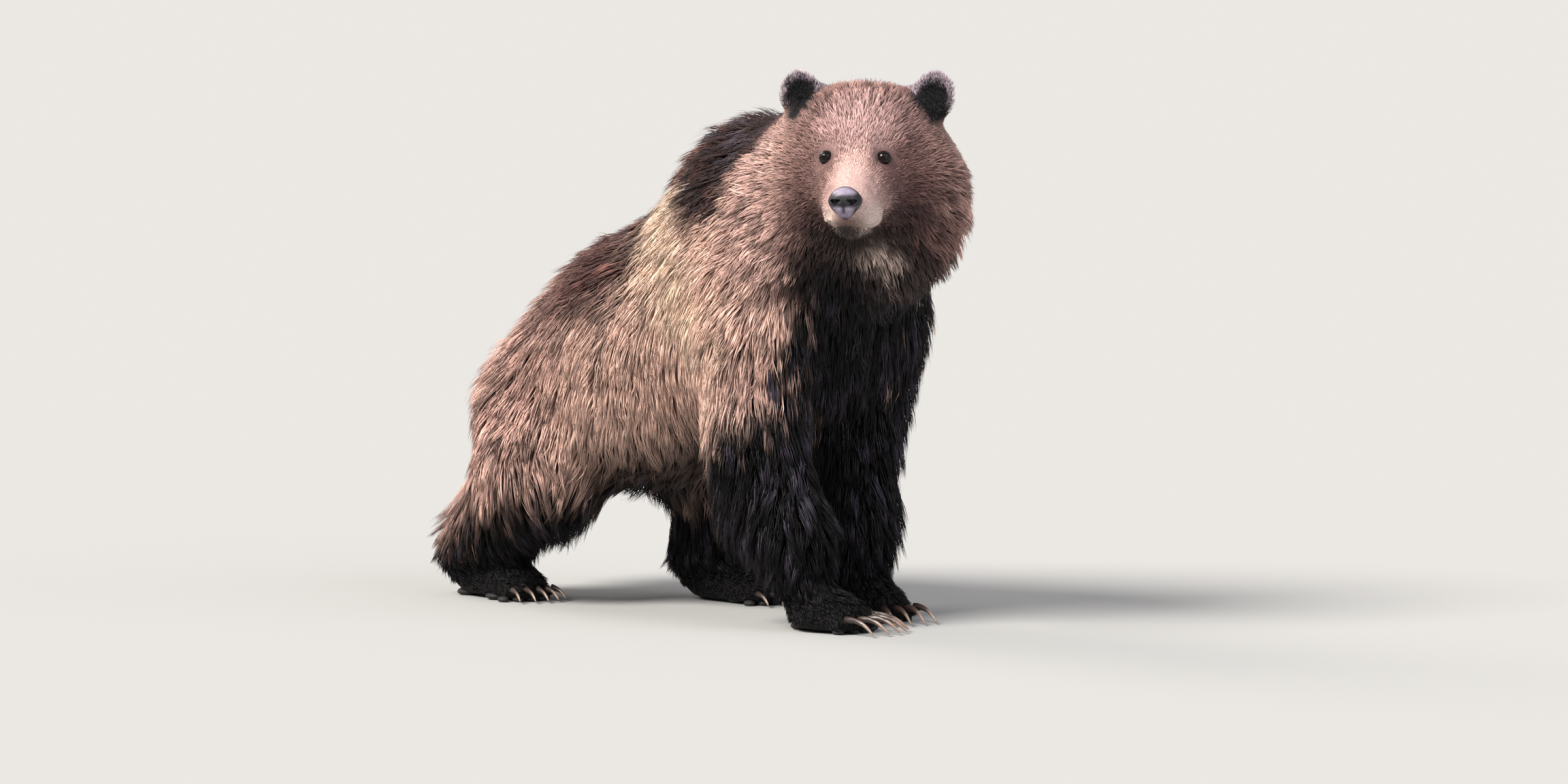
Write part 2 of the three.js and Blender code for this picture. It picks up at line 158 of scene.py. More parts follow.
# ---- the head's frame
# Places on the head are given out of the face, to its left and up, from midway between the eyes.
BOTH = ("left", "right")  # sides of the bear
eye_places = {side: sum(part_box(f"eye_{side}"), Vector()) / 2 for side in BOTH}
EYE_RADIUS = (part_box("eye_left")[1].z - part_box("eye_left")[0].z) / 2
face_middle = (eye_places["left"] + eye_places["right"]) / 2
face_left = (eye_places["left"] - eye_places["right"]).normalized()
face_up = Vector((0, 0, 1))
face_out = face_left.cross(face_up)
face_axes = np.array((face_out, face_left, face_up))


def on_face(out, left, up):
    return face_middle + face_out * out + face_left * left + face_up * up


def face_coordinates(points):
    """Points in metres as distances out of the face, to its left and up."""
    return (points - np.array(face_middle)) @ face_axes.T


def rows(items, name, width, kind=float):
    """One row of values for each item of a mesh."""
    flat = np.empty(len(items) * width, kind)
    items.foreach_get(name, flat)
    return flat.reshape(-1, width)


def mesh_points(piece):
    return rows(piece.data.vertices, "co", 3)


NOSE_HALF = (0.026, 0.0315, 0.0300)  # half its depth, width and height
nose_solid = face_coordinates(mesh_points(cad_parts["nose"]))
nose_low = nose_solid.min(axis=0)
nose_high = nose_solid.max(axis=0)
NOSE_PLACE = on_face(nose_high[0] - NOSE_HALF[0], 0, (nose_low[2] + nose_high[2]) / 2)

# ---- skin
# The hide under the coat, as one closed surface without a seam. The solids of flesh are fused,
# smoothed, sunk by the depth of the coat, and the face is then modelled on it.
FLESH = [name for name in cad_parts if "claw" not in name and not name.startswith(("eye", "nose"))]
VOXEL = 0.0085  # size of the grid on which the solids are fused
HEAD_MIDDLE = on_face(-0.06, 0, -0.03)
HEAD_RADIUS = 0.19  # the head's finer net reaches this far from its middle
NECK_HEIGHT = 0.7  # and no lower than this
COAT_RISE = 0.38  # depth of the coat as a share of the length of its hair
CHEEK_RISE = 0.12  # the same on the cheeks, where the hair stands out
EAR_HAIR = 0.013  # length of the hair on the ears
CHIN_HAIR = 0.015  # how much longer it is under the chin
EAR_MARGIN = 0.006  # how far outside an ear's box still counts as the ear


def fade(value, start, end):
    """A smooth step from 0 at start to 1 at end."""
    share = np.clip((value - start) / (end - start), 0, 1)
    return share * share * (3 - 2 * share)


def distance_to(points, place):
    return np.linalg.norm(points - np.array(place), axis=1)


def off_ear(points, side):
    """How far points lie outside the box round an ear."""
    low, high = (np.array(corner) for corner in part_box(f"ear_{side}"))
    return np.linalg.norm(np.maximum(np.maximum(low - points, points - high), 0), axis=1)


def ear_share(points):
    """1 on the ears, 0 off them."""
    share = np.zeros(len(points))
    for side in BOTH:
        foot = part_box(f"ear_{side}")[0].z
        above = fade(points[:, 2], foot + 0.004, foot + 0.018)
        share = np.maximum(share, above * (off_ear(points, side) < EAR_MARGIN))
    return share


def hair_length(points):
    """Length of the coat in metres: short on the feet, ears and face, longest on the body."""
    by_height = np.interp(
        points[:, 2],
        [0.02, 0.05, 0.08, 0.12, 0.20, 0.32, 0.45],
        [0.014, 0.022, 0.034, 0.046, 0.058, 0.070, 0.080],
    )
    by_face = np.interp(
        distance_to(points, NOSE_PLACE),
        [0.03, 0.07, 0.12, 0.17, 0.22, 0.27, 0.33, 0.42],
        [0.005, 0.008, 0.013, 0.018, 0.026, 0.038, 0.054, 0.080],
    )
    near = face_coordinates(points)
    chin = fade(-near[:, 2], 0.114, 0.130) * fade(near[:, 0], -0.02, 0.03)
    chin *= 1 - fade(np.abs(near[:, 1]), 0.05, 0.08)
    length = np.minimum(by_height, by_face + CHIN_HAIR * chin)
    for side in BOTH:
        length = np.minimum(length, 0.010 + 0.4 * off_ear(points, side))
    return length + (EAR_HAIR - length) * ear_share(points)


shell = bmesh.new()
for name in [*FLESH, "eye_left", "eye_right"]:
    shell.from_mesh(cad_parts[name].data)
bmesh.ops.remove_doubles(shell, verts=shell.verts, dist=1e-5)
skin_mesh = bpy.data.meshes.new("skin")
shell.to_mesh(skin_mesh)
shell.free()
skin_mesh.materials.clear()
skin = new_object("skin", skin_mesh)


def only(piece):
    """Selects one object and makes it the active one."""
    bpy.ops.object.select_all(action="DESELECT")
    piece.select_set(True)
    bpy.context.view_layer.objects.active = piece


def open_for_editing(piece):
    """Opens one object in edit mode with all of its mesh selected."""
    only(piece)
    bpy.ops.object.mode_set(mode="EDIT")
    bpy.ops.mesh.select_all(action="SELECT")


def finish_with(piece, kind, **settings):
    """Adds a modifier to a piece and applies it."""
    only(piece)
    modifier = piece.modifiers.new(kind.lower(), kind)
    for name, value in settings.items():
        setattr(modifier, name, value)
    bpy.ops.object.modifier_apply(modifier=modifier.name)


def mesh_normals(piece):
    return rows(piece.data.vertex_normals, "vector", 3)


def place_points(piece, points):
    piece.data.vertices.foreach_set("co", points.ravel())
    piece.data.update()


finish_with(skin, "REMESH", mode="VOXEL", voxel_size=VOXEL)
finish_with(skin, "SMOOTH", factor=0.5, iterations=8)

# The head gets a finer net than the body.
points = mesh_points(skin)
on_head = (distance_to(points, HEAD_MIDDLE) < HEAD_RADIUS) & (points[:, 2] > NECK_HEIGHT)
skin.data.vertices.foreach_set("select", on_head)
only(skin)
bpy.ops.object.mode_set(mode="EDIT")
bpy.ops.mesh.select_mode(type="VERT")
bpy.ops.mesh.subdivide(number_cuts=1, smoothness=0)
bpy.ops.object.mode_set(mode="OBJECT")
finish_with(skin, "TRIANGULATE")
finish_with(skin, "SMOOTH", factor=0.5, iterations=2)

points = mesh_points(skin)
near = face_coordinates(points)
cheek = fade(np.abs(near[:, 1]), 0.07, 0.12) * fade(near[:, 0], -0.24, -0.14) * fade(-near[:, 2], -0.03, 0.03)
rise = COAT_RISE + (CHEEK_RISE - COAT_RISE) * cheek * fade(points[:, 2], 0.60, 0.68)
place_points(skin, points - mesh_normals(skin) * (hair_length(points) * rise)[:, None])
finish_with(skin, "SMOOTH", factor=0.4, iterations=3)


def press(places, radius, depth, stretch=(1, 1, 1)):
    """Moves the hide in along its normals near the given places on the face, or out if depth is negative.
    Stretch makes the mark longer out of the face, across it or up it."""
    here = mesh_points(skin)
    near = face_coordinates(here)
    normals = mesh_normals(skin)
    amount = np.zeros(len(here))
    for place in places:
        apart = np.linalg.norm((near - np.array(place)) / np.array(stretch), axis=1)
        amount = np.maximum(amount, np.exp(-((apart / radius) ** 2)))
    amount *= 1 - ear_share(here)
    place_points(skin, here - normals * (amount * depth)[:, None])


SIDES = (1, -1)  # left and right, as signs
ROW = (0, 1, 2)  # the places of a mark that is drawn out into a line
for side in SIDES:
    press([(0.0, side * 0.052, 0.0)], 0.017, 0.005)  # eye socket
    press([(0.012, side * (0.030 + 0.010 * t), 0.016 + 0.006 * t) for t in ROW], 0.012, -0.0035)  # brow
    press([(0.03 + 0.02 * t, side * 0.040, -0.020 - 0.016 * t) for t in ROW], 0.010, 0.0030)  # tear groove
    press([(0.095, side * 0.058, -0.100)], 0.020, 0.006)  # side of the muzzle, behind the whiskers
    press([(-0.045, side * (0.096 + 0.018 * t), 0.108 - 0.020 * t) for t in ROW], 0.034, 0.020)  # ear root
    press([(0.100, side * 0.034, -0.078)], 0.008, 0.002)  # fold behind the wing of the nose
press([(0.0, 0.0, 0.030)], 0.012, 0.003, (1, 0.7, 3))  # furrow of the forehead
press([(-0.06, 0.0, 0.135)], 0.050, 0.006, (1.6, 1.5, 1))  # flat top of the head
press([(0.085, 0.0, -0.140)], 0.030, 0.006, (1, 1.4, 1))  # receding chin
press([(0.095, -0.046, -0.062 - 0.018 * t) for t in ROW], 0.026, 0.017)  # lean right side of the muzzle
press([(0.065, -0.054, -0.062 - 0.018 * t) for t in ROW], 0.026, 0.006)  # and behind it
press([(0.080, 0.054, -0.098)], 0.022, -0.004)  # full left whisker pad

open_for_editing(skin)
bpy.ops.uv.smart_project(angle_limit=math.radians(66), island_margin=0.002)
bpy.ops.object.mode_set(mode="OBJECT")
skin.data.uv_layers[0].name = "OFBake"
bpy.ops.object.shade_smooth()

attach(skin, "root")
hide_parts(*FLESH)

# ---- markings
# The bear's colours, which the hide and every hair take from the same rule: brown flanks with a gold
# band behind the shoulder, a dark hump, dark legs and chest, and a pale bridge to the nose. Some of
# the dark is painted shade: on the undersides, the lower cheeks, the chin, round the eyes and on the
# bear's right side of the muzzle.
FLANK = 0xEAC4B3
SPINE = 0x523430
HAUNCH = 0xBC978B
HUMP = 0x2E1816
GOLD = 0xFFE0C6
DARK = 0x0B090A
RUFF = 0xA8857B
RUFF_EDGE = 0xD4AFA4
FACE = 0x86655E
FOREHEAD = 0xDAB4AE
CROWN = 0x98736A
BRIDGE = 0xEEC6BC
CREAM = 0xE8D0C4
CHEEK = 0x7C5A56
JOWL = 0x35282A
CHIN = 0x382B28
THROAT = 0xD2BAAE
EAR_BOWL = 0x0C0A0E
EAR_EDGE = 0x9C8C94
EAR_MIDDLES = {side: sum(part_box(f"ear_{side}"), Vector()) / 2 for side in BOTH}
EAR_REACH = 0.08  # all of an ear is nearer its middle than this


def ripple(at, length):
    """Slow waves of about the given length, from -1 to 1, that break up the edges of the markings."""
    random = np.random.default_rng(11)
    waves = random.normal(size=(6, 3)) / length * 3
    return np.sin(at @ waves.T + random.uniform(0, 6.28, 6)).mean(axis=1) * 1.6


def lay(under, colour, weight):
    """Lays a colour over those already there."""
    return under + (np.array(linear(colour)[:3]) - under) * np.clip(weight, 0, 1)[:, None]


def dab(near, place, radii):
    """1 at a place, fading to 0 over the radii."""
    return np.exp(-np.sum(((near - np.array(place)) / np.array(radii)) ** 2, axis=1))


def markings(at, facing):
    """Colour of the coat at points of the hide that face the given ways, as linear red, green, blue."""
    x, y, z = at.T
    near = face_coordinates(at)
    out, left, up = near.T
    across = np.abs(left)
    height = z + 0.030 * ripple(at, 0.16)
    band = np.interp(z, [0.43, 0.60, 0.77], [0.24, 0.16, 0.045])  # how far forward the gold band lies
    on_band = np.exp(-(((x - band) / np.where(x > band, 0.075, 0.11)) ** 2))
    off_hump = (((x - 0.163) / 0.103) ** 4 + ((z - 0.93) / 0.155) ** 4) ** 0.25 + 0.10 * ripple(at, 0.09)
    forward = x + 0.35 * np.minimum(y, 0) + 0.15 * np.maximum(y, 0)
    shadow_line = np.interp(  # how high the dark of legs, belly and chest reaches
        forward,
        [-0.68, -0.58, -0.44, -0.28, -0.08, 0.04, 0.10, 0.166, 0.225, 0.257, 0.291, 0.338, 0.37],
        [0.15, 0.20, 0.220, 0.235, 0.245, 0.28, 0.33, 0.385, 0.415, 0.45, 0.555, 0.635, 0.69],
    )
    body = [
        (FLANK, np.ones(len(at))),
        (HAUNCH, fade(-x + 0.5 * z, 0.36, 0.58)),
        *[(SPINE, 0.35 * dab(at, (-0.30, side * 0.20, 0.28), (0.11, 0.12, 0.12))) for side in SIDES],
        (SPINE, fade(facing[:, 2], 0.10, 0.55) * fade(x, -0.50, -0.18) * fade(z, 0.42, 0.60)),
        *[(HAUNCH, 0.9 * dab(at, (0.31, side * 0.19, 0.50), (0.09, 0.10, 0.11))) for side in SIDES],
        (GOLD, on_band * fade(z, 0.45, 0.64) * (1 - fade(z, 0.78, 0.86))),
        (HUMP, fade(-off_hump, -1.10, -0.88)),
        (HUMP, 0.6 * dab(at, (-0.16, -0.02, 0.74), (0.11, 0.14, 0.06))),
        (DARK, fade(shadow_line - height, -0.055, 0.045)),
        # Darker where the hide faces down: the bear's dark belly, with painted shade on every underside.
        (DARK, 0.95 * fade(-facing[:, 2], 0.45, 0.90)),
    ]

    on_head = (1 - fade(distance_to(at, NOSE_PLACE), 0.31, 0.39)) * fade(height, 0.60, 0.66)
    sag = 0.004 * fade(across, 0.0, 0.035)  # of the lips, beside the nose
    wide = np.interp(
        up, [-0.10, -0.08, -0.045, -0.02, 0.01, 0.03], [0.066, 0.062, 0.050, 0.040, 0.029, 0.020]
    )
    # Narrower on the bear's right side: partly its own marking, partly painted shade of that side of the
    # muzzle.
    wide *= np.where(left < 0, 0.78, 1.0)
    bridge = np.exp(-((left / wide) ** 4)) * fade(-up, -0.040, 0.005) * fade(out, -0.02, 0.01)
    head = [
        (FACE, on_head),
        (RUFF, on_head * fade(across, 0.085, 0.14) * fade(up, -0.10, 0.0)),
        (RUFF_EDGE, fade(-left, 0.115, 0.165) * on_head),
        (RUFF_EDGE, fade(left, 0.145, 0.18) * on_head * fade(up, -0.16, -0.08)),
        (CHEEK, on_head * 0.75 * dab(near, (0.0, 0.105, -0.040), (0.16, 0.050, 0.050))),
        (CHEEK, on_head * 0.5 * dab(near, (0.0, -0.085, -0.035), (0.16, 0.028, 0.050))),
        # Dark lower cheeks: a darker brown that is partly painted shade under the head.
        (JOWL, on_head * 0.9 * dab(near, (0.0, 0.085, -0.105), (0.16, 0.050, 0.045))),
        (JOWL, on_head * 0.9 * dab(near, (0.0, -0.085, -0.130), (0.16, 0.042, 0.056))),
        # Dark chin, under the mouth and under the jaw: its own dark brown, deepened by painted shade under
        # the head.
        (CHIN, on_head * fade(-up - sag, 0.113, 0.119) * (1 - fade(across, 0.075, 0.11))),
        (CHIN, on_head * fade(-up, 0.150, 0.180) * (1 - fade(across, 0.11, 0.16))),
        (DARK, 1.2 * dab(near, (-0.12, -0.050, -0.235), (0.12, 0.075, 0.045))),
        (THROAT, 1.15 * dab(near, (-0.10, 0.032, -0.175), (0.10, 0.032, 0.020))),
        (CROWN, on_head * fade(up, 0.085, 0.115) * (1 - fade(across, 0.09, 0.13))),
        (FOREHEAD, 1.15 * on_head * dab(near, (-0.01, 0.003, 0.062), (0.10, 0.068, 0.048))),
        (BRIDGE, bridge * fade(up, -0.110, -0.088)),
        (CREAM, 1.4 * dab(near, (0.085, 0.042, -0.102), (0.035, 0.025, 0.024))),
        # Smaller on the bear's right side: partly its own marking, partly painted shade.
        (CREAM, 1.4 * dab(near, (0.095, -0.036, -0.106), (0.035, 0.018, 0.018))),
    ]
    for side in SIDES:  # the root of the ear, the rim of the eye and its inner corner
        head += [
            (EAR_BOWL, 1.6 * dab(near, (-0.12, side * 0.098, 0.094), (0.045, 0.019, 0.020))),
            (EAR_BOWL, 1.4 * dab(near, (-0.13, side * 0.128, 0.072), (0.045, 0.018, 0.016))),
            # Dark rim of the eye, widened into painted shade of the socket round it.
            (DARK, 1.2 * dab(near, (0.0, side * 0.052, 0.0), (0.03, 0.0125, 0.0105))),
            (CHEEK, 0.6 * dab(near, (0.02, side * 0.037, -0.008), (0.03, 0.012, 0.008))),
        ]
    ears = ear_share(at)
    for middle in EAR_MIDDLES.values():
        own = (at - np.array(middle)) @ face_axes.T
        rim = fade(np.hypot(own[:, 1], own[:, 2] + 0.004), 0.024, 0.032) * fade(own[:, 2], -0.030, -0.005)
        inside = ears * (distance_to(at, middle) < EAR_REACH)
        head += [(EAR_BOWL, inside * fade(facing @ face_axes[0], -0.3, 0.2)), (EAR_EDGE, inside * rim)]

    colour = np.zeros_like(at)
    for hue, weight in body + head:
        colour = lay(colour, hue, weight)
    return colour


# Hide: dull dark skin and the matted wool on it, in grains of about 2 mm.
hide_finish, hide_tree, hide_shader = material("hide_with_underwool")
marking = add_node(hide_tree, "Attribute", {}, attribute_name="marking")
place = add_node(hide_tree, "TexCoord", {})
wool = add_node(hide_tree, "TexNoise", {"Vector": place.outputs["Object"], "Scale": 450.0, "Detail": 6.0})
depth = add_node(hide_tree, "MapRange", {"Value": wool, 1: 0.3, 2: 0.7, 3: 0.30, 4: 0.75})
tint = add_node(hide_tree, "VectorMath", {0: marking.outputs["Vector"], "Scale": depth}, operation="SCALE")
relief = add_node(hide_tree, "Bump", {"Height": wool, "Strength": 0.8, "Distance": 0.0015})
set_inputs(
    hide_shader, {"Base Color": tint, "Normal": relief, "Roughness": 0.85, "Specular IOR Level": 0.25}
)


def paint(piece, colours):
    """Stores a colour for each point of a mesh."""
    layer = piece.data.attributes.new("marking", "FLOAT_COLOR", "POINT")
    with_alpha = np.column_stack((colours, np.ones(len(colours))))
    layer.data.foreach_set("color", with_alpha.astype(np.float32).ravel())


paint(skin, markings(mesh_points(skin), mesh_normals(skin)))
skin.data.materials.append(hide_finish)

# ---- eyes
# A dark brown eyeball with a round pupil on each side, wet and glossy. It sits in the orbit where
# its solid is, and the pole of its net is its pupil, so that iris and pupil are rings of faces.
EYE_TURN = math.radians(9)  # each eye looks a little outwards
EYE_DROP = 0.06  # and a little down
PUPIL = math.radians(15)
IRIS = math.radians(40)

# Cornea over a brown iris: clear and wet, so that a lamp shows as one small bright point.
eye_finishes = []
for name, colour in (("wet_pupil", 0x050403), ("wet_iris", 0x1C100A), ("wet_eye_rim", 0x0F0A08)):
    finish, _, shader = material(name)
    set_inputs(
        shader, {"Base Color": linear(colour), "Roughness": 0.06, "IOR": 1.376, "Specular IOR Level": 0.35}
    )
    eye_finishes.append(finish)

gazes = {}
for side, sign in zip(BOTH, SIDES):
    gaze = Matrix.Rotation(sign * EYE_TURN, 3, "Z") @ face_out
    gaze = (gaze - face_up * EYE_DROP).normalized()
    gazes[side] = gaze
    bpy.ops.object.select_all(action="DESELECT")
    bpy.ops.mesh.primitive_uv_sphere_add(segments=40, ring_count=28, radius=EYE_RADIUS)
    eye = bpy.context.object
    eye.name = f"eyeball_{side}"
    eye_turn = gaze.to_track_quat("Z", "Y").to_matrix().to_4x4()
    eye.matrix_world = Matrix.Translation(eye_places[side]) @ eye_turn
    bpy.ops.object.transform_apply(location=True, rotation=True, scale=True)
    for finish in eye_finishes:
        eye.data.materials.append(finish)
    for face in eye.data.polygons:
        angle = (face.center - eye_places[side]).angle(gaze)
        face.material_index = 0 if angle < PUPIL else 1 if angle < IRIS else 2
    bpy.ops.object.shade_smooth()
    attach(eye, "root")
    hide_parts(f"eye_{side}")

# ---- eyelids
# Bare dark rims that lie on each eyeball and leave an almond open, drawn out at the inner corner.
LID_OPENING = (0.0094, 0.0061)  # half width and half height of the rim's middle line
LID_THICKNESS = 0.0017
UPPER_LID = 0.85  # height of its arch, as a share of the lower lid's
LID_CORNER = (0.30, 0.45, 0.0016)  # how far the inner corner is drawn out, narrowed and lowered

# Wet black skin: finely creased, with a soft gloss.
lid_finish, lid_tree, lid_shader = material("bare_eyelid_skin")
place = add_node(lid_tree, "TexCoord", {})
creases = add_node(lid_tree, "TexNoise", {"Vector": place.outputs["Object"], "Scale": 900.0, "Detail": 4.0})
relief = add_node(lid_tree, "Bump", {"Height": creases, "Strength": 0.5, "Distance": 0.0006})
set_inputs(
    lid_shader,
    {"Base Color": linear(0x100C0B), "Normal": relief, "Roughness": 0.62, "Specular IOR Level": 0.3},
)

for side, sign in zip(BOTH, SIDES):
    bpy.ops.object.select_all(action="DESELECT")
    bpy.ops.mesh.primitive_torus_add(
        major_segments=48, minor_segments=12, major_radius=1, minor_radius=LID_THICKNESS / LID_OPENING[0]
    )
    lid = bpy.context.object
    lid.name = f"eyelids_{side}"
    ring = mesh_points(lid)
    across = ring[:, 0] * LID_OPENING[0]
    along = ring[:, 1] * LID_OPENING[1]
    lift = ring[:, 2] * LID_OPENING[0]
    inner = np.clip(-sign * across / LID_OPENING[0], 0, 1) ** 3
    across = across * (1 + LID_CORNER[0] * inner)
    along = along * (1 - LID_CORNER[1] * inner) * np.where(along > 0, UPPER_LID, 1.0) - LID_CORNER[2] * inner
    bulge = np.sqrt(np.maximum(EYE_RADIUS**2 - across**2 - along**2, (EYE_RADIUS * 0.5) ** 2))
    gaze = gazes[side]
    sideways = face_up.cross(gaze).normalized()
    upwards = gaze.cross(sideways)
    middle = eye_places[side]
    spots = (
        np.array(middle)
        + across[:, None] * np.array(sideways)
        + along[:, None] * np.array(upwards)
        + (bulge + lift)[:, None] * np.array(gaze)
    )
    place_points(lid, spots)
    open_for_editing(lid)
    bpy.ops.mesh.normals_make_consistent(inside=False)
    bpy.ops.object.mode_set(mode="OBJECT")
    bpy.ops.object.shade_smooth()
    lid.data.materials.append(lid_finish)
    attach(lid, "root")

# ---- nose
# The bare leathery pad at the tip of the muzzle, broad above and narrow below, with two deep
# nostrils that open forward and curl out to the sides, and a groove down its middle.
NOSTRIL = (0.0148, 0.0058)  # its middle, across and up from the middle of the pad
NOSTRIL_HALF = (0.0088, 0.0064)
NOSTRIL_RIM = 0.0009
NOSTRIL_STEPS = ((0.004, 0.92), (0.006, 0.72))  # depth and narrowing of each
NOSTRIL_DRIFT = 0.0015  # how far each step leads outwards
NOSE_TILT = math.radians(12)
NOSE_GROOVE = (0.0035, 0.0022)  # its depth and half width
NOSE_WING = (0.0022, 0.021, 0.006)  # its swell, place across and half width

# Nose leather: moist and pebbled with grains of about 0.9 mm, slate with a paler front, and a pale
# top rim that is a painted highlight of the sky.
nose_finish, nose_tree, nose_shader = material("moist_nose_leather")
place = add_node(nose_tree, "TexCoord", {})
pebbles = add_node(nose_tree, "TexVoronoi", {"Vector": place.outputs["Object"], "Scale": 1100.0})
shade = add_node(nose_tree, "Attribute", {}, attribute_name="shade")
mottle = add_node(nose_tree, "TexNoise", {"Vector": place.outputs["Object"], "Scale": 500.0, "Detail": 5.0})
mottled = add_node(nose_tree, "MapRange", {"Value": mottle, 1: 0.3, 2: 0.7, 3: 0.55, 4: 1.15})
paleness = add_node(nose_tree, "Math", {0: shade.outputs["Fac"], 1: mottled}, operation="MULTIPLY")
tint = add_node(nose_tree, "Mix", {0: paleness, 6: linear(0x08070B), 7: linear(0xA89CB0)}, data_type="RGBA")
relief = add_node(nose_tree, "Bump", {"Height": pebbles, "Strength": 0.6, "Distance": 0.0008})
set_inputs(nose_shader, {"Base Color": tint.outputs[2], "Normal": relief, "Roughness": 0.45})
set_inputs(nose_shader, {"Specular IOR Level": 0.3, "Coat Weight": 0.15, "Coat Roughness": 0.2})

bpy.ops.object.select_all(action="DESELECT")
bpy.ops.mesh.primitive_uv_sphere_add(segments=40, ring_count=28, radius=1)
nose = bpy.context.object
nose.name = "nose_pad"
ball = mesh_points(nose)
out, left, up = ball.T
wide = NOSE_HALF[1] * (0.80 + 0.20 * fade(up, -0.5, 0.25)) * (1 - 0.34 * fade(-up, 0.15, 1.0))
deep = NOSE_HALF[0] * (1 - 0.16 * fade(-up, 0.0, 1.0))
flat_front = np.where(out > 0, np.sign(out) * np.abs(out) ** 0.8, out)
flat_top = 1 - 0.12 * (left**2) * (up > 0)
pad = np.stack((flat_front * deep, left * wide, up * NOSE_HALF[2] * flat_top), axis=1)
groove = NOSE_GROOVE[0] * np.exp(-((pad[:, 1] / NOSE_GROOVE[1]) ** 2))
pad[:, 0] -= groove * fade(out, 0.2, 0.7) * fade(-up, -0.35, 0.1)
wing = NOSE_WING[0] * np.exp(-(((np.abs(pad[:, 1]) - NOSE_WING[1]) / NOSE_WING[2]) ** 2))
pad[:, 0] += wing * fade(out, 0.0, 0.6)
turned = Matrix.Rotation(NOSE_TILT, 3, "Y")
nose_axes = Matrix((face_out, face_left, face_up)).transposed() @ turned
place_points(nose, pad @ np.array(nose_axes).T + np.array(NOSE_PLACE))

only(nose)
for sign in SIDES:
    mouth = np.array((NOSTRIL[0] * sign, NOSTRIL[1]))
    nostril = []
    for face in nose.data.polygons:
        own = nose_axes.transposed() @ (face.center - NOSE_PLACE)
        reach = np.array((own.y, own.z)) - mouth
        curl = reach[1] - 0.5 * abs(reach[0])
        within = math.hypot(reach[0] / NOSTRIL_HALF[0], curl / NOSTRIL_HALF[1]) < 1
        nostril.append(bool(own.x > 0.008 and within))
    bpy.ops.object.mode_set(mode="EDIT")
    bpy.ops.mesh.select_mode(type="FACE")
    bpy.ops.mesh.select_all(action="DESELECT")
    bpy.ops.object.mode_set(mode="OBJECT")
    nose.data.polygons.foreach_set("select", nostril)
    bpy.ops.object.mode_set(mode="EDIT")
    bpy.ops.mesh.inset(thickness=NOSTRIL_RIM)
    for depth, narrowing in NOSTRIL_STEPS:
        bpy.ops.mesh.extrude_region_move(
            TRANSFORM_OT_translate={"value": -(nose_axes @ Vector((depth, -NOSTRIL_DRIFT * sign, 0)))}
        )
        bpy.ops.transform.resize(value=(narrowing,) * 3)
    bpy.ops.object.mode_set(mode="OBJECT")
finish_with(nose, "SUBSURF", levels=1, render_levels=1)
bpy.ops.object.shade_smooth()

own = (mesh_points(nose) - np.array(NOSE_PLACE)) @ np.array(nose_axes)
across = np.abs(own[:, 1])
high = own[:, 2]
# The pale top rim is a painted highlight: the sky's reflection on the wet leather.
pale_and_highlight = 0.02 + 0.75 * fade(high, 0.0165, 0.0235)
pale_and_highlight += 0.72 * fade(-high, -0.001, 0.006) * (1 - fade(-high, 0.019, 0.029))
taper = 0.45 * np.clip(-high, 0, 1)
pale_and_highlight *= 1 - fade(across, 0.019 - taper, 0.024 - taper) * fade(-high, 0.0, 0.006)
groove = 0.9 * np.exp(-((across / 0.0034) ** 2)) * fade(-high, -0.012, -0.004)
pale_and_highlight *= 1 - groove * (1 - fade(-high, 0.010, 0.018))
pale_and_highlight *= 0.25 + 0.75 * fade(own[:, 0], 0.0, 0.010)
pale_and_highlight *= 1 - 0.6 * fade(across, 0.020, 0.028)
pale_and_highlight += 0.35 * np.exp(-(((across - 0.0095) / 0.0045) ** 2) - ((high + 0.004) / 0.0035) ** 2)
nose.data.attributes.new("shade", "FLOAT", "POINT").data.foreach_set("value", pale_and_highlight.astype(np.float32))
nose.data.materials.append(nose_finish)
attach(nose, "root")
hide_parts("nose")

# ---- mouth
# The closed mouth: two dark rolls of lip that meet along a line from under the nose to the corners
# of the mouth on both cheeks, laid on the hide.
hide = bvhtree.BVHTree.FromObject(skin, bpy.context.evaluated_depsgraph_get())
LIP_TURN = [math.radians(a) for a in np.linspace(-60, 60, 49)]
JAW_PIVOT = 0.030  # how far out of the face the lips turn
LIPS = {"lip_upper": (0.1180, 0.0024), "lip_lower": (0.1220, 0.0024)}  # height below the eyes, and girth
LIP_SAG = (0.004, 0.001)  # how far the line drops midway along each side, and at the corner
LIP_SINK = 0.0017


def lip_line(drop):
    """Places along the lips, at a height below the eyes, from the right corner to the left one."""
    line = []
    for turn in LIP_TURN:
        corner = abs(turn) / LIP_TURN[-1]
        height = -drop - LIP_SAG[0] * math.sin(corner * math.pi) - LIP_SAG[1] * corner**2
        outwards = face_out * math.cos(turn) + face_left * math.sin(turn)
        centre = on_face(JAW_PIVOT, 0, height)
        hit, normal, _, _ = hide.ray_cast(centre + outwards * 0.3, -outwards)
        line.append(hit - normal * LIP_SINK)
    return line


for name, (drop, girth) in LIPS.items():
    curve = bpy.data.curves.new(name, "CURVE")
    curve.dimensions = "3D"
    curve.bevel_depth = girth
    curve.bevel_resolution = 3
    curve.use_fill_caps = True
    spline = curve.splines.new("POLY")
    route = lip_line(drop)
    spline.points.add(len(route) - 1)
    for n, spot in enumerate(route):
        thick = math.sin(math.pi * (0.06 + 0.88 * n / (len(route) - 1))) ** 0.6  # it thins to the corners
        spline.points[n].co = (*spot, 1)
        spline.points[n].radius = 0.25 + 0.75 * thick
    lip = new_object(name, curve)
    only(lip)
    bpy.ops.object.convert(target="MESH")
    lip = bpy.context.object
    bpy.ops.object.shade_smooth()
    lip.data.materials.append(lid_finish)
    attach(lip, "root")

# ---- claws
# Twenty long horn claws, one out of each toe, round above and worn blunt at the tip.
CLAW_SWELL = 0.0012  # makes up for what smoothing takes off
CLAW_FLOOR = 0.0015  # no claw reaches lower

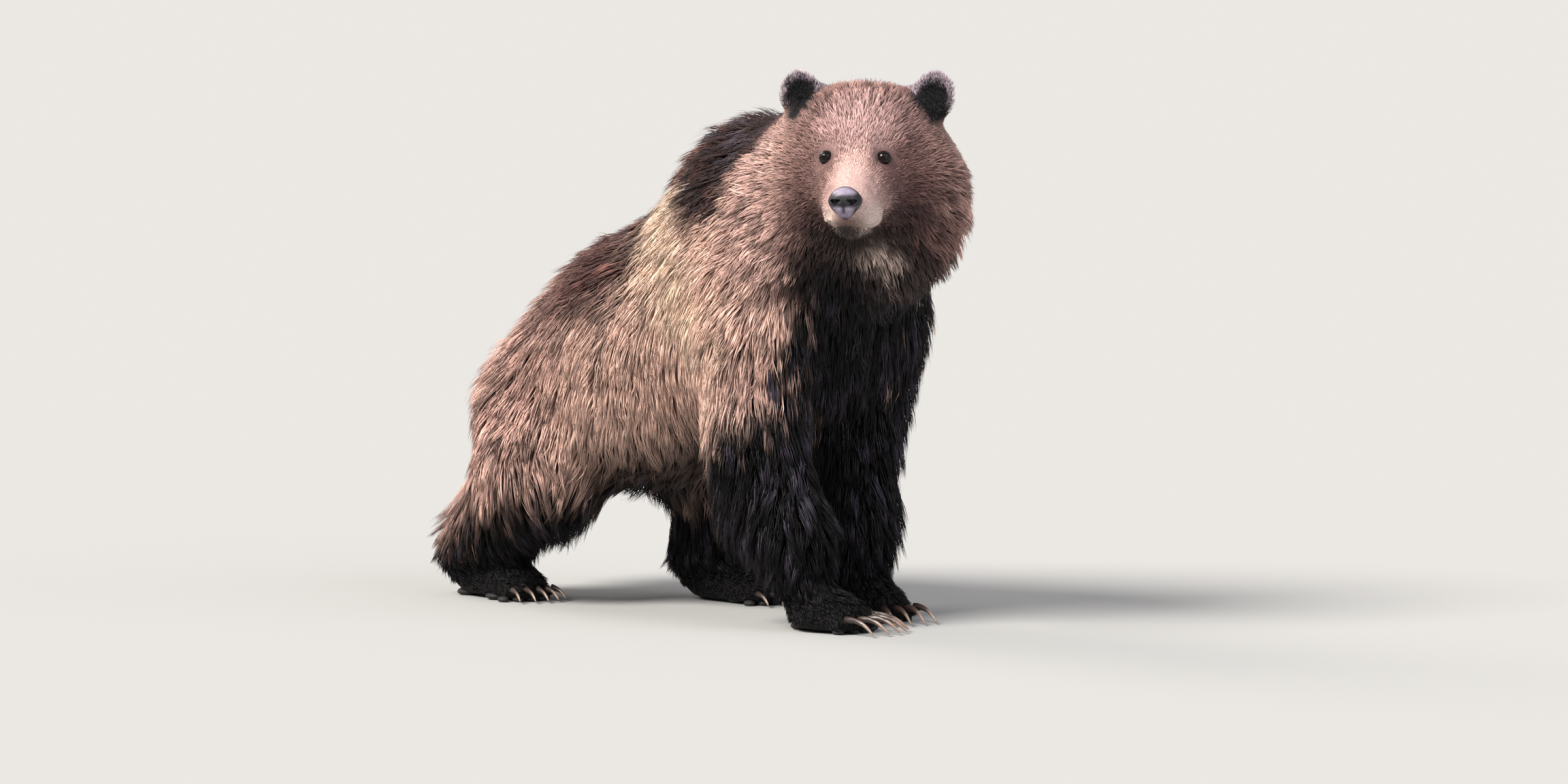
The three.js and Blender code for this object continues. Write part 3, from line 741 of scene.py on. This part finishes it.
# Horn: brown and smooth, clouded in patches of about 2 mm, paler and scuffed towards the tip.
claw_finish, claw_tree, claw_shader = material("claw_horn")
along = add_node(claw_tree, "Attribute", {}, attribute_name="along")
place = add_node(claw_tree, "TexCoord", {})
grain = add_node(claw_tree, "TexNoise", {"Vector": place.outputs["Object"], "Scale": 420.0, "Detail": 5.0})
worn = add_node(claw_tree, "Math", {0: grain, 1: 0.45}, operation="MULTIPLY")
shift = add_node(claw_tree, "Math", {0: along.outputs["Fac"], 1: worn}, operation="ADD")
horn = add_node(claw_tree, "ValToRGB", {"Fac": shift})
horn.color_ramp.elements[0].position = 0.15
horn.color_ramp.elements[0].color = linear(0x1C1412)
horn.color_ramp.elements[1].position = 1.25 / 1.3
horn.color_ramp.elements[1].color = linear(0x7C675B)
middle_tone = horn.color_ramp.elements.new(0.82)
middle_tone.color = linear(0x40302A)
relief = add_node(claw_tree, "Bump", {"Height": grain, "Strength": 0.3, "Distance": 0.0004})
set_inputs(claw_shader, {"Base Color": horn, "Normal": relief, "Roughness": 0.36})

CLAW_NODES = sorted(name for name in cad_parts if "claw" in name)
for name in CLAW_NODES:
    claw = new_object(name.replace("claw", "horn"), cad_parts[name].data.copy())
    claw.data.materials.clear()
    open_for_editing(claw)
    bpy.ops.mesh.remove_doubles(threshold=0.00002)
    bpy.ops.mesh.normals_make_consistent(inside=False)
    bpy.ops.object.mode_set(mode="OBJECT")
    finish_with(claw, "DISPLACE", strength=CLAW_SWELL, mid_level=0)
    finish_with(claw, "SUBSURF", levels=3, render_levels=3)
    bpy.ops.object.shade_smooth()
    horn_points = mesh_points(claw)
    reach = horn_points[:, 0]
    share = (reach - reach.min()) / (reach.max() - reach.min())
    horn_points[:, 2] = np.maximum(horn_points[:, 2], CLAW_FLOOR)
    place_points(claw, horn_points)
    claw.data.attributes.new("along", "FLOAT", "POINT").data.foreach_set("value", share.astype(np.float32))
    claw.data.materials.append(claw_finish)
    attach(claw, "root")
    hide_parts(name)

# ---- pads of the feet
# Tough bare pads that carry the bear: one under each toe and a broad one behind them, pressed flat
# on the floor. Thick dry skin, dark and cracked into plates of about 3 mm.
TOE_PAD = (0.0125, 0.0100, 0.0065)  # half its length, breadth and height
BALL_PAD = (0.030, 0.046, 0.010)
HEEL_PAD = (0.024, 0.026, 0.009)
TOE_BACK = 0.020  # from the back of a claw to the middle of its toe's pad
HEEL_BACK = 0.045  # from the back of the foot to the middle of the heel
HEEL_OUT = 0.01  # how far it lies to the outer side
BALL_SHARE = {"fore": 0.42, "hind": 0.34}  # of the way from the middle toe to the heel
HEEL_SHARE = 0.86
PAD_SEAT = 0.72  # height of a pad's middle, as a share of half its height
PAD_FLOOR = 0.0004  # height of its flat underside

pad_finish, pad_tree, pad_shader = material("cracked_paw_pad")
place = add_node(pad_tree, "TexCoord", {})
plates = add_node(
    pad_tree, "TexVoronoi", {"Vector": place.outputs["Object"], "Scale": 330.0}, feature="DISTANCE_TO_EDGE"
)
tone = add_node(pad_tree, "ValToRGB", {"Fac": plates})
tone.color_ramp.elements[0].color = linear(0x060505)
tone.color_ramp.elements[1].position = 0.25
tone.color_ramp.elements[1].color = linear(0x1C1817)
relief = add_node(pad_tree, "Bump", {"Height": plates, "Strength": 0.6, "Distance": 0.001})
set_inputs(pad_shader, {"Base Color": tone, "Normal": relief, "Roughness": 0.7})

for foot in ("fore", "hind"):
    for side, sign in zip(BOTH, SIDES):
        low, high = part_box(f"{foot}_paw_{side}")
        roots = []
        for n in range(1, 6):
            claw_low, claw_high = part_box(f"{foot}_claw_{side}_{n}")
            roots.append(Vector((claw_low.x - TOE_BACK, (claw_low.y + claw_high.y) / 2, 0)))
        middle_toe = roots[2]
        heel = Vector((low.x + HEEL_BACK, (low.y + high.y) / 2 + HEEL_OUT * sign, 0))
        spots = [(spot, TOE_PAD) for spot in roots]
        spots.append((middle_toe.lerp(heel, BALL_SHARE[foot]), BALL_PAD))
        spots.append((middle_toe.lerp(heel, HEEL_SHARE), HEEL_PAD))
        cushions = []
        for spot, half in spots:
            bpy.ops.object.select_all(action="DESELECT")
            bpy.ops.mesh.primitive_uv_sphere_add(segments=24, ring_count=14, radius=1)
            cushion = bpy.context.object
            shape = mesh_points(cushion) * half + np.array((*spot.xy, half[2] * PAD_SEAT))
            shape[:, 2] = np.maximum(shape[:, 2], PAD_FLOOR * (1 + shape[:, 2] / half[2]))
            place_points(cushion, shape)
            cushions.append(cushion)
        bpy.ops.object.select_all(action="DESELECT")
        for cushion in cushions:
            cushion.select_set(True)
        bpy.context.view_layer.objects.active = cushions[0]
        bpy.ops.object.join()
        pads = bpy.context.object
        pads.name = f"pads_{foot}_{side}"
        bpy.ops.object.shade_smooth()
        pads.data.materials.append(pad_finish)
        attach(pads, "root")

# ---- lie of the coat
# Which way the hair points. It runs from the nose back over the head, backwards along the spine, down
# the flanks and legs and forwards over the toes.
ANKLE_HEIGHT = 0.10
ANKLE_BACK = 0.06  # from the back of the foot
EYE_WHORL = 0.016  # over this distance the hair turns away from an eye
COMBINGS = 12  # rounds in which each point takes on the lie of its neighbours
ankles = {}
for foot in ("fore", "hind"):
    for side in BOTH:
        low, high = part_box(f"{foot}_paw_{side}")
        ankles[foot, side] = Vector((low.x + ANKLE_BACK, (low.y + high.y) / 2, ANKLE_HEIGHT))


def lie_of_hair(at):
    """The way the hair points at each point of the hide, before it is laid flat on the hide."""
    x, y, z = at.T
    from_nose = distance_to(at, NOSE_PLACE)
    lean = np.interp(x, [-0.6, -0.37, -0.12, 0.10, 0.20, 0.33], [-0.55, -0.4, -0.1, 0.45, 0.1, 0.0])
    lean += (-0.9 - lean) * fade(z, 0.46, 0.70)
    way = np.stack((lean, np.zeros_like(x), -np.ones_like(x)), axis=1)
    nearest = np.full(len(at), np.inf)
    splay = np.zeros_like(at)
    forwards = np.zeros_like(at)
    for ankle in ankles.values():
        apart = at - np.array(ankle)
        reach = np.hypot(apart[:, 0], apart[:, 1])
        closer = reach < nearest
        nearest = np.where(closer, reach, nearest)
        splay = np.where(closer[:, None], apart * (2.5, 2.5, 0) - (0, 0, 1), splay)
        outwards = apart / np.linalg.norm(apart, axis=1)[:, None] + (0.6, 0, 0)
        forwards = np.where(closer[:, None], outwards, forwards)
    way += (splay - way) * fade(-z, -0.42, -0.25)[:, None]
    way += (forwards - way) * fade(-z, -0.12, -0.06)[:, None]
    backwards = (at - np.array(NOSE_PLACE)) / from_nose[:, None]
    backwards[:, 2] -= 0.35 * fade(from_nose, 0.14, 0.28)
    way += (backwards - way) * ((1 - fade(from_nose, 0.34, 0.52)) * fade(z, 0.50, 0.62))[:, None]
    ears = ear_share(at)
    for side, middle in EAR_MIDDLES.items():
        low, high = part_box(f"ear_{side}")
        root = np.array(((low.x + high.x) / 2, (low.y + high.y) / 2, low.z))
        upwards = (at - root) / distance_to(at, root)[:, None] + (0, 0, 0.3)
        inside = ears * (distance_to(at, middle) < EAR_REACH)
        way += (upwards - way) * inside[:, None]
        apart = (at - np.array(eye_places[side])) / EYE_WHORL
        round_eye = np.exp(-np.sum(apart**2, axis=1))
        way += apart * round_eye[:, None]
    low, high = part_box("tail")
    on_tail = fade(0.05 - distance_to(at, (low + high) / 2), -0.05, 0.0)
    return way + ((-0.4, 0, -1) - way) * on_tail[:, None]


def lay_flat(ways, facing):
    """Directions turned to lie in the hide, at length 1."""
    ways = ways - facing * np.sum(ways * facing, axis=1)[:, None]
    return ways / np.maximum(np.linalg.norm(ways, axis=1), 1e-6)[:, None]


skin_points = mesh_points(skin)
skin_facing = mesh_normals(skin)
edge_ends = rows(skin.data.edges, "vertices", 2, np.int64)
edges_at = np.bincount(edge_ends.ravel(), minlength=len(skin_points))
combed = lay_flat(lie_of_hair(skin_points), skin_facing)
for _ in range(COMBINGS):
    total = np.zeros_like(combed)
    for start, end in ((0, 1), (1, 0)):
        for axis in range(3):
            neighbours = combed[edge_ends[:, end], axis]
            total[:, axis] += np.bincount(edge_ends[:, start], neighbours, len(skin_points))
    combed = lay_flat(combed + total / edges_at[:, None], skin_facing)

# ---- roots of the hair
# Where each tuft grows: spread evenly over the hide, closer where the hair is short and fine, and
# none on the soles, the nose, the lips and the eyes.
random = np.random.default_rng(2024)
corners = rows(skin.data.polygons, "vertices", 3, np.int64)
map_places = rows(skin.data.uv_layers["OFBake"].data, "uv", 2).reshape(-1, 3, 2)
triangle = skin_points[corners]
area = np.linalg.norm(np.cross(triangle[:, 1] - triangle[:, 0], triangle[:, 2] - triangle[:, 0]), axis=1) / 2


def tuft_length(at):
    """Hair length, shortened close round the eyes."""
    length = hair_length(at)
    for place in eye_places.values():
        length *= 0.25 + 0.75 * fade(distance_to(at, place), 0.012, 0.040)
    return np.maximum(length, 0.003)


def tuft_width(length, at):
    """Breadth of a tuft, coarser on the feet, where the hair is short but thick."""
    return np.clip(0.054 * length, 0.0017 + 0.0009 * fade(-at[:, 2], -0.30, -0.12), 0.0038)


length_here = tuft_length(triangle.mean(axis=1))
COVER = (2.9, 7.8)  # how many tufts lie over each other, in short hair and in long
cover = COVER[0] + (COVER[1] - COVER[0]) * fade(length_here, 0.008, 0.08)
width_here = tuft_width(length_here, triangle.mean(axis=1))
wanted = np.concatenate(([0], np.cumsum(area * cover / (length_here * width_here))))
on_triangle = np.searchsorted(wanted, np.arange(random.random(), wanted[-1], 1), side="right") - 1
along_edges = np.sqrt(random.random(len(on_triangle)))
across = random.random(len(on_triangle))
shares = np.stack((1 - along_edges, along_edges * (1 - across), along_edges * across), axis=1)[:, :, None]
root_at = (skin_points[corners[on_triangle]] * shares).sum(axis=1)
root_facing = (skin_facing[corners[on_triangle]] * shares).sum(axis=1)
root_facing /= np.linalg.norm(root_facing, axis=1)[:, None]
root_way = lay_flat((combed[corners[on_triangle]] * shares).sum(axis=1), root_facing)
root_map = (map_places[on_triangle] * shares).sum(axis=1)

EYE_BARE = (0.02, 0.0108, 0.0078)  # half the depth, width and height of the bare place round an eye
LIP_BARE = 0.0022
MOUTH_MIDDLE = on_face(0.08, 0, -0.122)
MOUTH_REACH = 0.09
bare = (root_facing[:, 2] < -0.5) & (root_at[:, 2] < 0.03)
for place in eye_places.values():
    own = face_coordinates(root_at) - face_coordinates(np.array(place)[None])
    bare |= np.sum((own / EYE_BARE) ** 2, axis=1) < 1
in_nose = (root_at - np.array(NOSE_PLACE)) @ np.array(nose_axes) / NOSE_HALF
bare |= np.sum(in_nose**2, axis=1) < 1.1
lips = np.array([lip_line(drop) for drop, _ in LIPS.values()]).reshape(-1, 3)
near_mouth = np.nonzero(distance_to(root_at, MOUTH_MIDDLE) < MOUTH_REACH)[0]
to_lips = np.linalg.norm(root_at[near_mouth][:, None] - lips[None], axis=2).min(axis=1)
bare[near_mouth[to_lips < LIP_BARE]] = True
root_at = root_at[~bare]
root_facing = root_facing[~bare]
root_way = root_way[~bare]
root_map = root_map[~bare]

# ---- coat
# The hair itself: solid tufts, three-sided and drawn out to a point, that overlap like thatch. Near
# the body they gather into damp locks, most of all on the legs. Each is dark at its root and pale at
# its tip, as grizzled hair is, and the dark roots also serve as painted shade in the gaps between
# the locks. Some dark locks carry a painted glint of the sky.
GRAVITY = 0.45
STEPS = 6
BAKE_PATCH = 0.003  # the breadth of a tuft on the baking map
SINK = 0.002  # how deep the foot of a tuft sits in the hide
BRIGHTEST = 0.85
STRAY = 0.16  # share of the tufts that are fine stray hairs, longer than the rest
# Painted reflection: the sky as mirrored by wet dark hair, laid into the colour of some dark locks.
GLINT = 0x4A4350  # wet dark hair that mirrors the sky
LEADERS = 0.1  # share of the tufts that lead a lock
LOWEST_SPINE = 0.0015  # no tuft's middle line runs lower
LOWEST_HAIR = 0.001  # and no corner of a tuft
LOCK_DRAW = 0.35  # how much further the wet locks of the legs and belly are drawn out

count = len(root_at)
root_length = tuft_length(root_at)
long_hair = fade(root_length, 0.012, 0.06)
on_cheek = fade(-distance_to(root_at, NOSE_PLACE), -0.36, -0.30) * fade(root_at[:, 2], 0.58, 0.66)
stray = random.random(count) < STRAY * (0.3 + 0.7 * long_hair)
root_width = tuft_width(root_length, root_at) * np.where(stray, 0.45, random.uniform(0.6, 1.25, count))
length_share = np.where(stray, random.uniform(0.95, 1.25, count), random.uniform(0.75, 1.12, count))
root_length = root_length * length_share
root_angle = np.radians(np.interp(root_length, [0.004, 0.012, 0.03, 0.08], [17, 26, 38, 42]))
root_angle *= random.uniform(0.75, 1.25, count) + 0.55 * on_cheek + 0.5 * ear_share(root_at)
for side in BOTH:
    low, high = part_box(f"ear_{side}")
    from_ear = root_at - np.array(((low.x + high.x) / 2, (low.y + high.y) / 2, low.z + 0.03))
    outwards = np.sum(from_ear * root_facing, axis=1) / np.linalg.norm(from_ear, axis=1)
    on_this = ear_share(root_at) * (np.linalg.norm(from_ear, axis=1) < 0.09)
    root_angle += on_this * fade(outwards, 0.5, 0.95) * math.radians(45)
low_down = fade(-root_at[:, 2], -0.40, -0.22)
on_top = fade(-distance_to(root_at, NOSE_PLACE), -0.30, -0.22) * fade(root_at[:, 2], 0.72, 0.80)
damp = np.clip(0.30 + 0.45 * long_hair + 0.25 * low_down - 0.15 * on_top, 0, 0.95)
damp = fade(root_length, 0.006, 0.016) * damp
root_side = np.cross(root_way, root_facing)
turn = random.normal(0, 0.15, count)[:, None]
root_way = root_way * np.cos(turn) + root_side * np.sin(turn)
root_side = np.cross(root_way, root_facing)
bend = random.normal(0, 0.18, count)
pull = GRAVITY * long_hair * (1 - 0.85 * fade(root_facing[:, 2], 0.1, 0.7)) * (1 - 0.5 * on_cheek)

spine_points = np.empty((count, STEPS + 1, 3))
spine_points[:, 0] = root_at - root_facing * SINK
for step in range(STEPS):
    share = (step + 0.5) / STEPS
    lift = root_angle * (1 - 0.85 * share)
    way = root_way * np.cos(lift)[:, None] + root_facing * np.sin(lift)[:, None]
    way += root_side * (bend * share * 2)[:, None]
    way[:, 2] -= pull * share * 1.6
    way /= np.linalg.norm(way, axis=1)[:, None]
    spine_points[:, step + 1] = spine_points[:, step] + way * (root_length / STEPS)[:, None]

# A leading tuft draws the ones round it into one lock, which shares its shade and its markings.
leaders = np.nonzero(random.random(count) < LEADERS)[0]
for step in range(1, STEPS + 1):
    drawn = spine_points[leaders, step] - spine_points[leaders, 0]
    drawn = drawn * (LOCK_DRAW * low_down[leaders])[:, None]
    spine_points[leaders, step] += drawn * step / STEPS
tree = kdtree.KDTree(len(leaders))
for leader in leaders:
    tree.insert(root_at[leader], leader)
tree.balance()
led_by = np.array([tree.find(spot)[1] for spot in root_at])
hold = damp * random.uniform(0.6, 1.05, count) * np.where(stray, 0.4, 1.0)
for step in range(1, STEPS + 1):
    gathered = np.clip(hold * (step / STEPS) ** 1.3, 0, 0.95)[:, None]
    spine_points[:, step] += (spine_points[led_by, step] - spine_points[:, step]) * gathered
spine_points[:, :, 2] = np.maximum(spine_points[:, :, 2], LOWEST_SPINE)

astray = random.normal(0, 0.28, (count, 3))[led_by] * root_length[:, None]
root_colour = markings(root_at + astray, root_facing)
lightness = root_colour.mean(axis=1)
spread = np.interp(lightness, [0.01, 0.10], [0.45, 0.26]) * (0.5 + 0.5 * long_hair)
lock_shade = np.exp(random.normal(0, 1, count)[led_by] * spread + random.normal(0, 0.13, count))
lock_shade *= np.where((random.random(count) < 0.10)[led_by] & (long_hair > 0.4), 0.5, 1.0)
root_colour *= lock_shade[:, None]
pale_hair = fade(root_colour.mean(axis=1), 0.06, 0.30)
# Painted glint: the sky's reflection laid into the colour of some dark locks.
painted_glint = (random.random(count) < 0.22)[led_by] * fade(-lightness, -0.05, -0.02) * long_hair
root_colour = lay(root_colour, GLINT, 0.55 * painted_glint)
root_number = random.random(count)

# Hair: smooth keratin with a dull gloss, each tuft streaked lengthwise by strands of about 0.5 mm,
# drawn as 1 mm so that they show.
DRY = "dry_guard_hair"
DAMP = "damp_guard_hair"
hair_finishes = {}
for name, roughness, gloss, shine in ((DRY, 0.62, 0.3, 0.0), (DAMP, 0.48, 0.22, 0.03)):
    finish, hairs, shader = material(name)
    marking = add_node(hairs, "Attribute", {}, attribute_name="marking")
    strand = add_node(hairs, "UVMap", {}, uv_map="strand")
    stretched = add_node(hairs, "Mapping", {"Vector": strand, "Scale": (1000.0, 40.0, 1.0)})
    streaks = add_node(hairs, "TexNoise", {"Vector": stretched, "Scale": 1.0, "Detail": 2.0})
    depth = add_node(hairs, "MapRange", {"Value": streaks, 1: 0.3, 2: 0.7, 3: 0.72, 4: 1.28})
    tint = add_node(hairs, "VectorMath", {0: marking.outputs["Vector"], "Scale": depth}, operation="SCALE")
    relief = add_node(hairs, "Bump", {"Height": streaks, "Strength": 0.6, "Distance": 0.0006})
    set_inputs(shader, {"Base Color": tint, "Normal": relief, "Roughness": roughness})
    set_inputs(shader, {"Specular IOR Level": gloss, "Coat Weight": shine, "Coat Roughness": 0.25})
    hair_finishes[name] = finish


def coat_piece(name, chosen, rings, finish):
    """Makes one piece of the coat from the tufts with the chosen numbers."""
    number = len(chosen)
    at_steps = np.arange(rings + 1) * STEPS // rings
    line = spine_points[chosen][:, at_steps]
    facing = root_facing[chosen][:, None]
    along = np.diff(line, axis=1)
    along = np.concatenate((along, along[:, -1:]), axis=1)
    along /= np.maximum(np.linalg.norm(along, axis=2), 1e-9)[:, :, None]
    side = np.cross(along, facing)
    side /= np.maximum(np.linalg.norm(side, axis=2), 1e-9)[:, :, None]
    rise = np.cross(side, along)
    share = at_steps / STEPS
    breadth = (0.75 + 0.9 * share - 1.65 * share**2)[None, :, None] * root_width[chosen][:, None, None] / 2
    ring = np.stack((line - side * breadth, line + rise * breadth * 0.8, line + side * breadth), axis=2)
    points = np.concatenate((ring[:, :rings].reshape(number, rings * 3, 3), line[:, rings:]), axis=1)
    points[:, :, 2] = np.maximum(points[:, :, 2], LOWEST_HAIR)

    per_tuft = rings * 3 + 1
    faces = [(0, 2, 1)]
    for k in range(rings - 1):
        faces += [(3 * k + a, 3 * k + b, 3 * k + 3 + b, 3 * k + 3 + a) for a, b in ((0, 1), (1, 2), (2, 0))]
    top = 3 * (rings - 1)
    faces += [(top + a, top + b, top + 3) for a, b in ((0, 1), (1, 2), (2, 0))]
    corner_list = np.concatenate([np.array(face) for face in faces])
    sizes = np.array([len(face) for face in faces])
    starts = np.concatenate(([0], np.cumsum(sizes)[:-1]))
    offsets = np.arange(number)[:, None]

    mesh = bpy.data.meshes.new(name)
    mesh.vertices.add(number * per_tuft)
    mesh.vertices.foreach_set("co", points.ravel())
    mesh.loops.add(number * len(corner_list))
    mesh.loops.foreach_set("vertex_index", (corner_list[None] + offsets * per_tuft).ravel())
    mesh.polygons.add(number * len(faces))
    mesh.polygons.foreach_set("loop_start", (starts[None] + offsets * len(corner_list)).ravel())
    mesh.polygons.foreach_set("use_smooth", np.ones(number * len(faces), bool))
    mesh.update(calc_edges=True)

    around = np.where(corner_list == per_tuft - 1, 0.5, (corner_list % 3) / 2)
    height = share[corner_list // 3]
    patch = np.stack((around - 0.5, height - 0.5), axis=1) * BAKE_PATCH
    baked = mesh.uv_layers.new(name="OFBake")
    baked.data.foreach_set("uv", (root_map[chosen][:, None] + patch[None]).ravel())
    strand = mesh.uv_layers.new(name="strand")
    across = around[None] * root_width[chosen][:, None] + root_number[chosen][:, None]
    lengthwise = height[None] * root_length[chosen][:, None]
    strand.data.foreach_set("uv", np.stack((across, lengthwise), axis=2).ravel())

    piece = new_object(name, mesh)
    # Darker at the root and paler at the tip, as grizzled hair is; the dark roots also stand for painted
    # shade between the locks.
    shade = np.interp(share, [0.0, 0.35, 0.7, 1.0], [0.20, 0.62, 1.05, 1.35])
    shade = shade[np.concatenate((np.repeat(np.arange(rings), 3), [rings]))]
    shade = shade[None] + (0.25 - 0.22 * shade)[None] * pale_hair[chosen][:, None]
    colours = root_colour[chosen][:, None] * shade[:, :, None]
    colours *= np.minimum(1, BRIGHTEST / np.maximum(colours.max(axis=2), 1e-6))[:, :, None]
    paint(piece, colours.reshape(-1, 3))
    mesh.materials.append(hair_finishes[finish])
    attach(piece, "root")


x, y, z = root_at.T
from_nose = distance_to(root_at, NOSE_PLACE)
head_side = (root_at - np.array(NOSE_PLACE)) @ np.array(face_left)
left_side = y > 0
# Each tuft goes to the first of these pieces whose zone it grows in.
zones = [
    ("coat_ears", ear_share(root_at) > 0.5, 2, DRY, "coat_ear"),
    ("coat_muzzle", (from_nose < 0.115) & (z > 0.6), 2, DRY, "coat_face"),
    ("coat_brow", (from_nose < 0.19) & (z > 0.6), 2, DRY, "coat_face"),
    ("coat_cheek_left", (from_nose < 0.32) & (z > 0.55) & (head_side > 0), 3, DRY, "coat_face"),
    ("coat_cheek_right", (from_nose < 0.32) & (z > 0.55), 3, DRY, "coat_face"),
    ("coat_feet", z < 0.085, 2, DAMP, "coat_leg"),
    ("coat_foreleg_left", (z < 0.40) & (x > 0.08) & left_side, 3, DAMP, "coat_leg"),
    ("coat_foreleg_right", (z < 0.40) & (x > 0.08), 3, DAMP, "coat_leg"),
    ("coat_hindleg_left", (z < 0.34) & left_side, 3, DAMP, "coat_leg"),
    ("coat_hindleg_right", z < 0.34, 3, DAMP, "coat_leg"),
    ("coat_rump_left", (x < -0.33) & left_side, 3, DRY, "coat_back"),
    ("coat_rump_right", x < -0.33, 3, DRY, "coat_back"),
    ("coat_flank_left", (x < 0.02) & left_side, 3, DRY, "coat_back"),
    ("coat_flank_right", x < 0.02, 3, DRY, "coat_back"),
    ("coat_shoulder_left", left_side, 3, DRY, "coat_back"),
    ("coat_shoulder_right", ~left_side, 3, DRY, "coat_back"),
]
free = np.ones(count, bool)
for name, inside, rings, finish, slot in zones:
    coat_piece(name, np.nonzero(inside & free)[0], rings, finish)
    free &= ~inside
